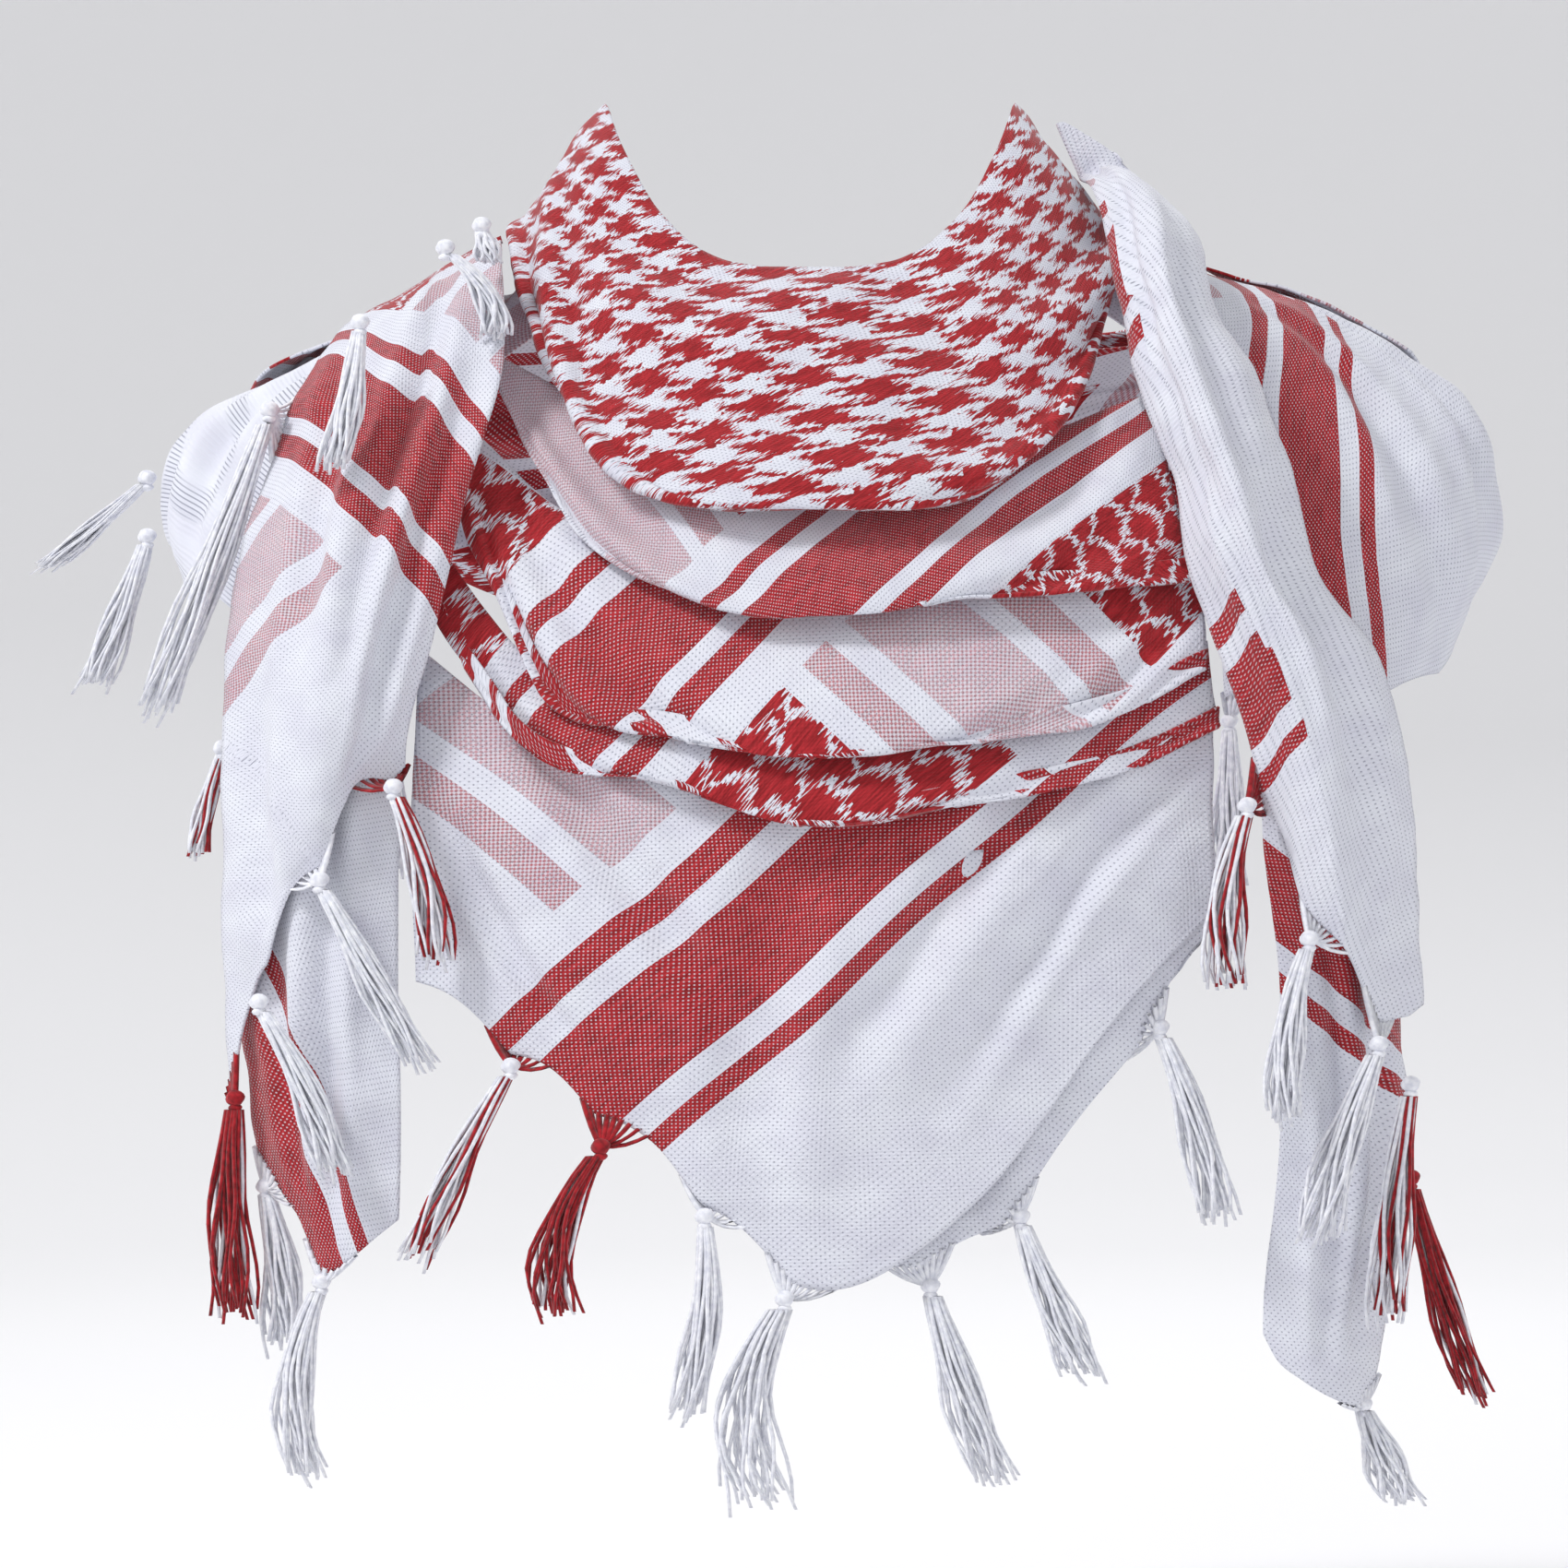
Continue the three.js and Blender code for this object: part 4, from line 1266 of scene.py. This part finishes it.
                    Crease((0.4, 0.2), (0.5, 0.95), 7, 5.7, 2),
                    Crease((0.75, 0.3), (0.7, 0.9), 6, 4.3, -2)),
                seed=10.6),
            Sheet("left_under_wrap", Side.ROUND, (
                (-128, -38, 46, 54, 60, 62, 54, -8, -6, -4, -6, -8),
                (-128, -38, 34, 44, 50, 48, 30, -8, -6, -5, -6, -8),
                (-128, -38, 22, 34, 42, 34, 8, -8, -6, -5, -6, -8),
                (-128, -38, 6, 20, 30, 16, -14, -8, -6, -5, -6, -8)),
                bands=Axis(90, 1.0, 0, 0, 200), weft=Axis(0, 1.0, 0, 0, 360),
                flat=(0.23, 0.045), creases=(Crease((0.3, 0.2), (0.9, 0.8), 7, 3.5, 2),), seed=11.2),
            Sheet("right_under_wrap", Side.ROUND, (
                (38, 124, 56, 66, 66, 58, 48, -8, -4, -4, -6, -8),
                (38, 124, 32, 52, 54, 48, 36, -8, -6, -5, -6, -8),
                (38, 124, 8, 36, 44, 36, 22, -8, -6, -5, -6, -8),
                (38, 124, -18, 20, 34, 22, 8, -8, -6, -5, -6, -8)),
                bands=Axis(90, 1.0, 0, 0, 0), weft=Axis(0, 1.0, 0, 0, 360),
                flat=(0.24, 0.053), creases=(Crease((0.1, 0.8), (0.7, 0.2), 7, 3.5, 2),), seed=12.2),
            Sheet("left_shoulder", Side.ROUND, (
                (-135, -60, 38, 46, 50, 50, 46, 0, 1, 2, 2, 2),
                (-135, -58, 26, 32, 34, 32, 24, 0, 1, 4, 3, 2),
                (-135, -58, 8, 14, 14, 8, 0, 0, 4, 9, 6, 2),
                (-136, -58, -16, -6, -4, -10, -24, 1, 10, 22, 10, 2),
                (-138, -58, -44, -28, -22, -30, -46, 1, 12, 26, 12, 2),
                (-140, -60, -74, -54, -46, -52, -64, 2, 12, 22, 10, 1),
                (-140, -62, -104, -80, -66, -72, -84, 3, 8, 10, 5, 1)),
                bands=Axis(0, 0.0, 0, 0, 225), weft=Axis(90, 1.0, 0, 38, 91),
                flat=(0.24, 0.14), hem=Hem((0.0, 0.25, 0.5, 0.75, 1.0), 4),
                creases=(
                    Crease((0.3, 0.1), (0.4, 0.9), 9, 6.5, 4),
                    Crease((0.55, 0.05), (0.6, 0.95), 9, 7.3, -3),
                    Crease((0.75, 0.2), (0.8, 0.9), 8, 5.7, 3),
                    Crease((0.1, 0.2), (0.15, 0.9), 8, 5.1, 3)),
                seed=13.5),
            Sheet("right_shoulder", Side.ROUND, (
                (46, 135, 50, 56, 58, 54, 42, 2, 2, 2, 1, 0),
                (46, 135, 26, 36, 42, 38, 30, 2, 3, 5, 2, 0),
                (46, 135, -2, 12, 22, 20, 10, 2, 6, 13, 5, 0),
                (46, 136, -30, -12, 4, -2, -16, 2, 12, 24, 11, 0),
                (46, 138, -60, -38, -20, -28, -44, 2, 14, 30, 14, 1),
                (50, 140, -90, -68, -50, -60, -78, 2, 14, 30, 13, 2),
                (56, 140, -120, -104, -86, -94, -112, 1, 6, 16, 9, 3)),
                bands=Axis(168, 1.35, 178, -20, 94), weft=Axis(78, 1.0, 178, -20, 20),
                flat=(0.29, 0.17), hem=Hem((0.0, 0.25, 0.5, 0.75, 1.0), 4),
                creases=(
                    Crease((0.2, 0.1), (0.25, 0.95), 9, 6.5, 4),
                    Crease((0.42, 0.05), (0.38, 0.95), 9, 6.9, -3),
                    Crease((0.6, 0.2), (0.62, 0.9), 8, 5.7, 3),
                    Crease((0.85, 0.2), (0.85, 0.9), 8, 5.1, 3)),
                seed=14.4),
            Sheet("nape_left", Side.ROUND, (
                (128, 268, 38, 30, 32, 44, 56, 6, 10, 10, 10, 6),
                (128, 268, 30, 12, 12, 34, 48, 7, 14, 14, 13, 7),
                (130, 268, 22, -8, -14, 22, 39, 7, 15, 16, 16, 9),
                (132, 268, 14, -32, -44, 8, 29, 7, 14, 18, 22, 11),
                (134, 268, 6, -54, -74, -8, 19, 6, 12, 18, 28, 14)),
                bands=Axis(70, 1.0, -60, -40, 300), weft=Axis(-20, 1.0, 0, 0, 420),
                flat=(0.45, 0.11), rests_on=("left_shoulder",),
                creases=(
                    Crease((0.05, 0.3), (0.95, 0.4), 7, 6.5, 12),
                    Crease((0.1, 0.6), (0.9, 0.62), 8, 7.3, 14),
                    Crease((0.3, 0.85), (0.98, 0.8), 7, 5.7, 8)),
                seed=15.3),
            Sheet("nape_right", Side.ROUND, (
                (92, 232, 60, 48, 36, 32, 40, 6, 15, 20, 22, 24),
                (92, 232, 52, 36, 16, 12, 32, 8, 19, 26, 28, 28),
                (92, 230, 43, 22, -8, -10, 24, 10, 23, 29, 30, 30),
                (92, 228, 34, 8, -36, -32, 16, 13, 28, 31, 32, 30),
                (92, 226, 25, -10, -66, -52, 8, 17, 33, 32, 30, 28)),
                bands=Axis(110, 1.0, 60, -40, 320), weft=Axis(20, 1.0, 0, 0, 420),
                flat=(0.46, 0.115), rests_on=("nape_left",),
                creases=(
                    Crease((0.05, 0.35), (0.95, 0.3), 8, 7.3, 14),
                    Crease((0.1, 0.65), (0.9, 0.6), 7, 6.5, 12),
                    Crease((0.05, 0.85), (0.7, 0.88), 7, 5.7, 8)),
                seed=16.8),
        ]

    def tassels(self) -> list[Tassel]:
        """List the knotted tassels, with the sheet that each hangs from.

        Returns:
            The tassels, not yet built.
        """
        white, red, mixed = Yarn.WHITE, Yarn.RED, Yarn.MIXED
        rows = (
            ("left_neck", -139, 56, 46, 16, 18, 34, 6, white, "left_tail_front"),
            ("left_neck_short", -126, 66, 38, 2, 4, 14, 5, white, "left_tail_front"),
            ("left_nape", -170, 26, 56, -4, -10, 56, 6, white, "left_tail_front"),
            ("left_outer", -208, -4, 24, -22, -46, 120, 8, white, "left_tail_front"),
            ("left_arm_upper", -262, -27, 12, -20, -42, 36, 6, white, "left_shoulder"),
            ("left_arm_lower", -262, -50, 10, -10, -22, 60, 7, white, "left_shoulder"),
            ("left_side", -226, -134, 10, -6, -10, 42, 4, mixed, "left_shoulder"),
            ("left_front_1", -157, -149, 26, 12, 16, 68, 7, mixed, "left_tail_front"),
            ("left_front_2", -185, -184, 30, 20, 40, 72, 7, white, "left_tail_front"),
            ("left_front_3", -208, -230, 38, 18, 30, 66, 7, white, "left_tail_front"),
            ("left_corner", -220, -268, 16, -2, 0, 86, 9, red, "left_tail_front"),
            ("left_back_1", -209, -302, 5, 6, 8, 62, 8, white, "left_tail_back"),
            ("left_back_2", -186, -337, 12, -10, -4, 76, 8, white, "left_tail_back"),
            ("flap_1", -113, -254, 12, -20, -36, 74, 7, mixed, "front_flap"),
            ("flap_2", -79, -284, 14, -16, -16, 64, 9, red, "front_flap"),
            ("flap_3", -40, -310, 14, 0, -8, 76, 7, white, "front_flap"),
            ("flap_4", -10, -341, 14, -14, -8, 78, 13, white, "front_flap"),
            ("under_1", 45, -337, 2, 12, 26, 76, 9, white, "under_flap"),
            ("under_2", 79, -311, 2, 12, 26, 62, 8, white, "under_flap"),
            ("under_3", 132, -240, 1, 14, 22, 74, 8, white, "under_flap"),
            ("right_front_1", 164, -156, 24, -8, -6, 70, 8, mixed, "right_tail_front"),
            ("right_front_2", 187, -206, 36, -8, -8, 70, 7, white, "right_tail_front"),
            ("right_front_3", 214, -246, 40, -14, -24, 76, 9, white, "right_tail_front"),
            ("right_side_1", 228, -262, 32, -6, -8, 92, 8, mixed, "right_tail_back"),
            ("right_side_2", 232, -300, 8, 12, 28, 88, 7, red, "right_tail_back"),
            ("right_back", 212, -386, 8, 8, 16, 38, 9, white, "right_tail_back"),
            ("nape_left", -150, -118, 6, 0, 0, 70, 7, white, "left_shoulder"),
            ("nape_right", 150, -122, 6, 0, 0, 70, 7, white, "right_shoulder"),
        )
        return [Tassel(*row) for row in rows]

    def build(self) -> None:
        cloth = self.cotton.material()
        # Each yarn's second colour is its painted shade.
        white = FringeYarn("cotton_yarn_white", "#f3f4f8", "#d2d4df").material(self.cotton)
        red = FringeYarn("cotton_yarn_red", "#b3202a", "#6d0d14").material(self.cotton)
        finishes = {Yarn.WHITE: white, Yarn.RED: red}
        hanging: dict[str, list[bpy.types.Object]] = {}
        sheets = {sheet.name: sheet for sheet in self.sheets()}
        for tassel in self.tassels():
            piece = tassel.build(finishes, sheets[tassel.sheet])
            hanging.setdefault(tassel.sheet, []).append(piece)
            LOG.info("tassel %s: %d faces", tassel.name, len(piece.data.polygons))
        for sheet in sheets.values():
            piece = sheet.build()
            piece.data.materials.append(cloth)
            LOG.info("sheet %s: %d faces", sheet.name, len(piece.data.polygons))


def main() -> None:
    """Build the studio and the scarf, in order."""
    logging.basicConfig(level=logging.INFO, format="%(name)s: %(message)s")
    Studio().build()
    Keffiyeh().build()


if __name__ == "__main__":
    main()
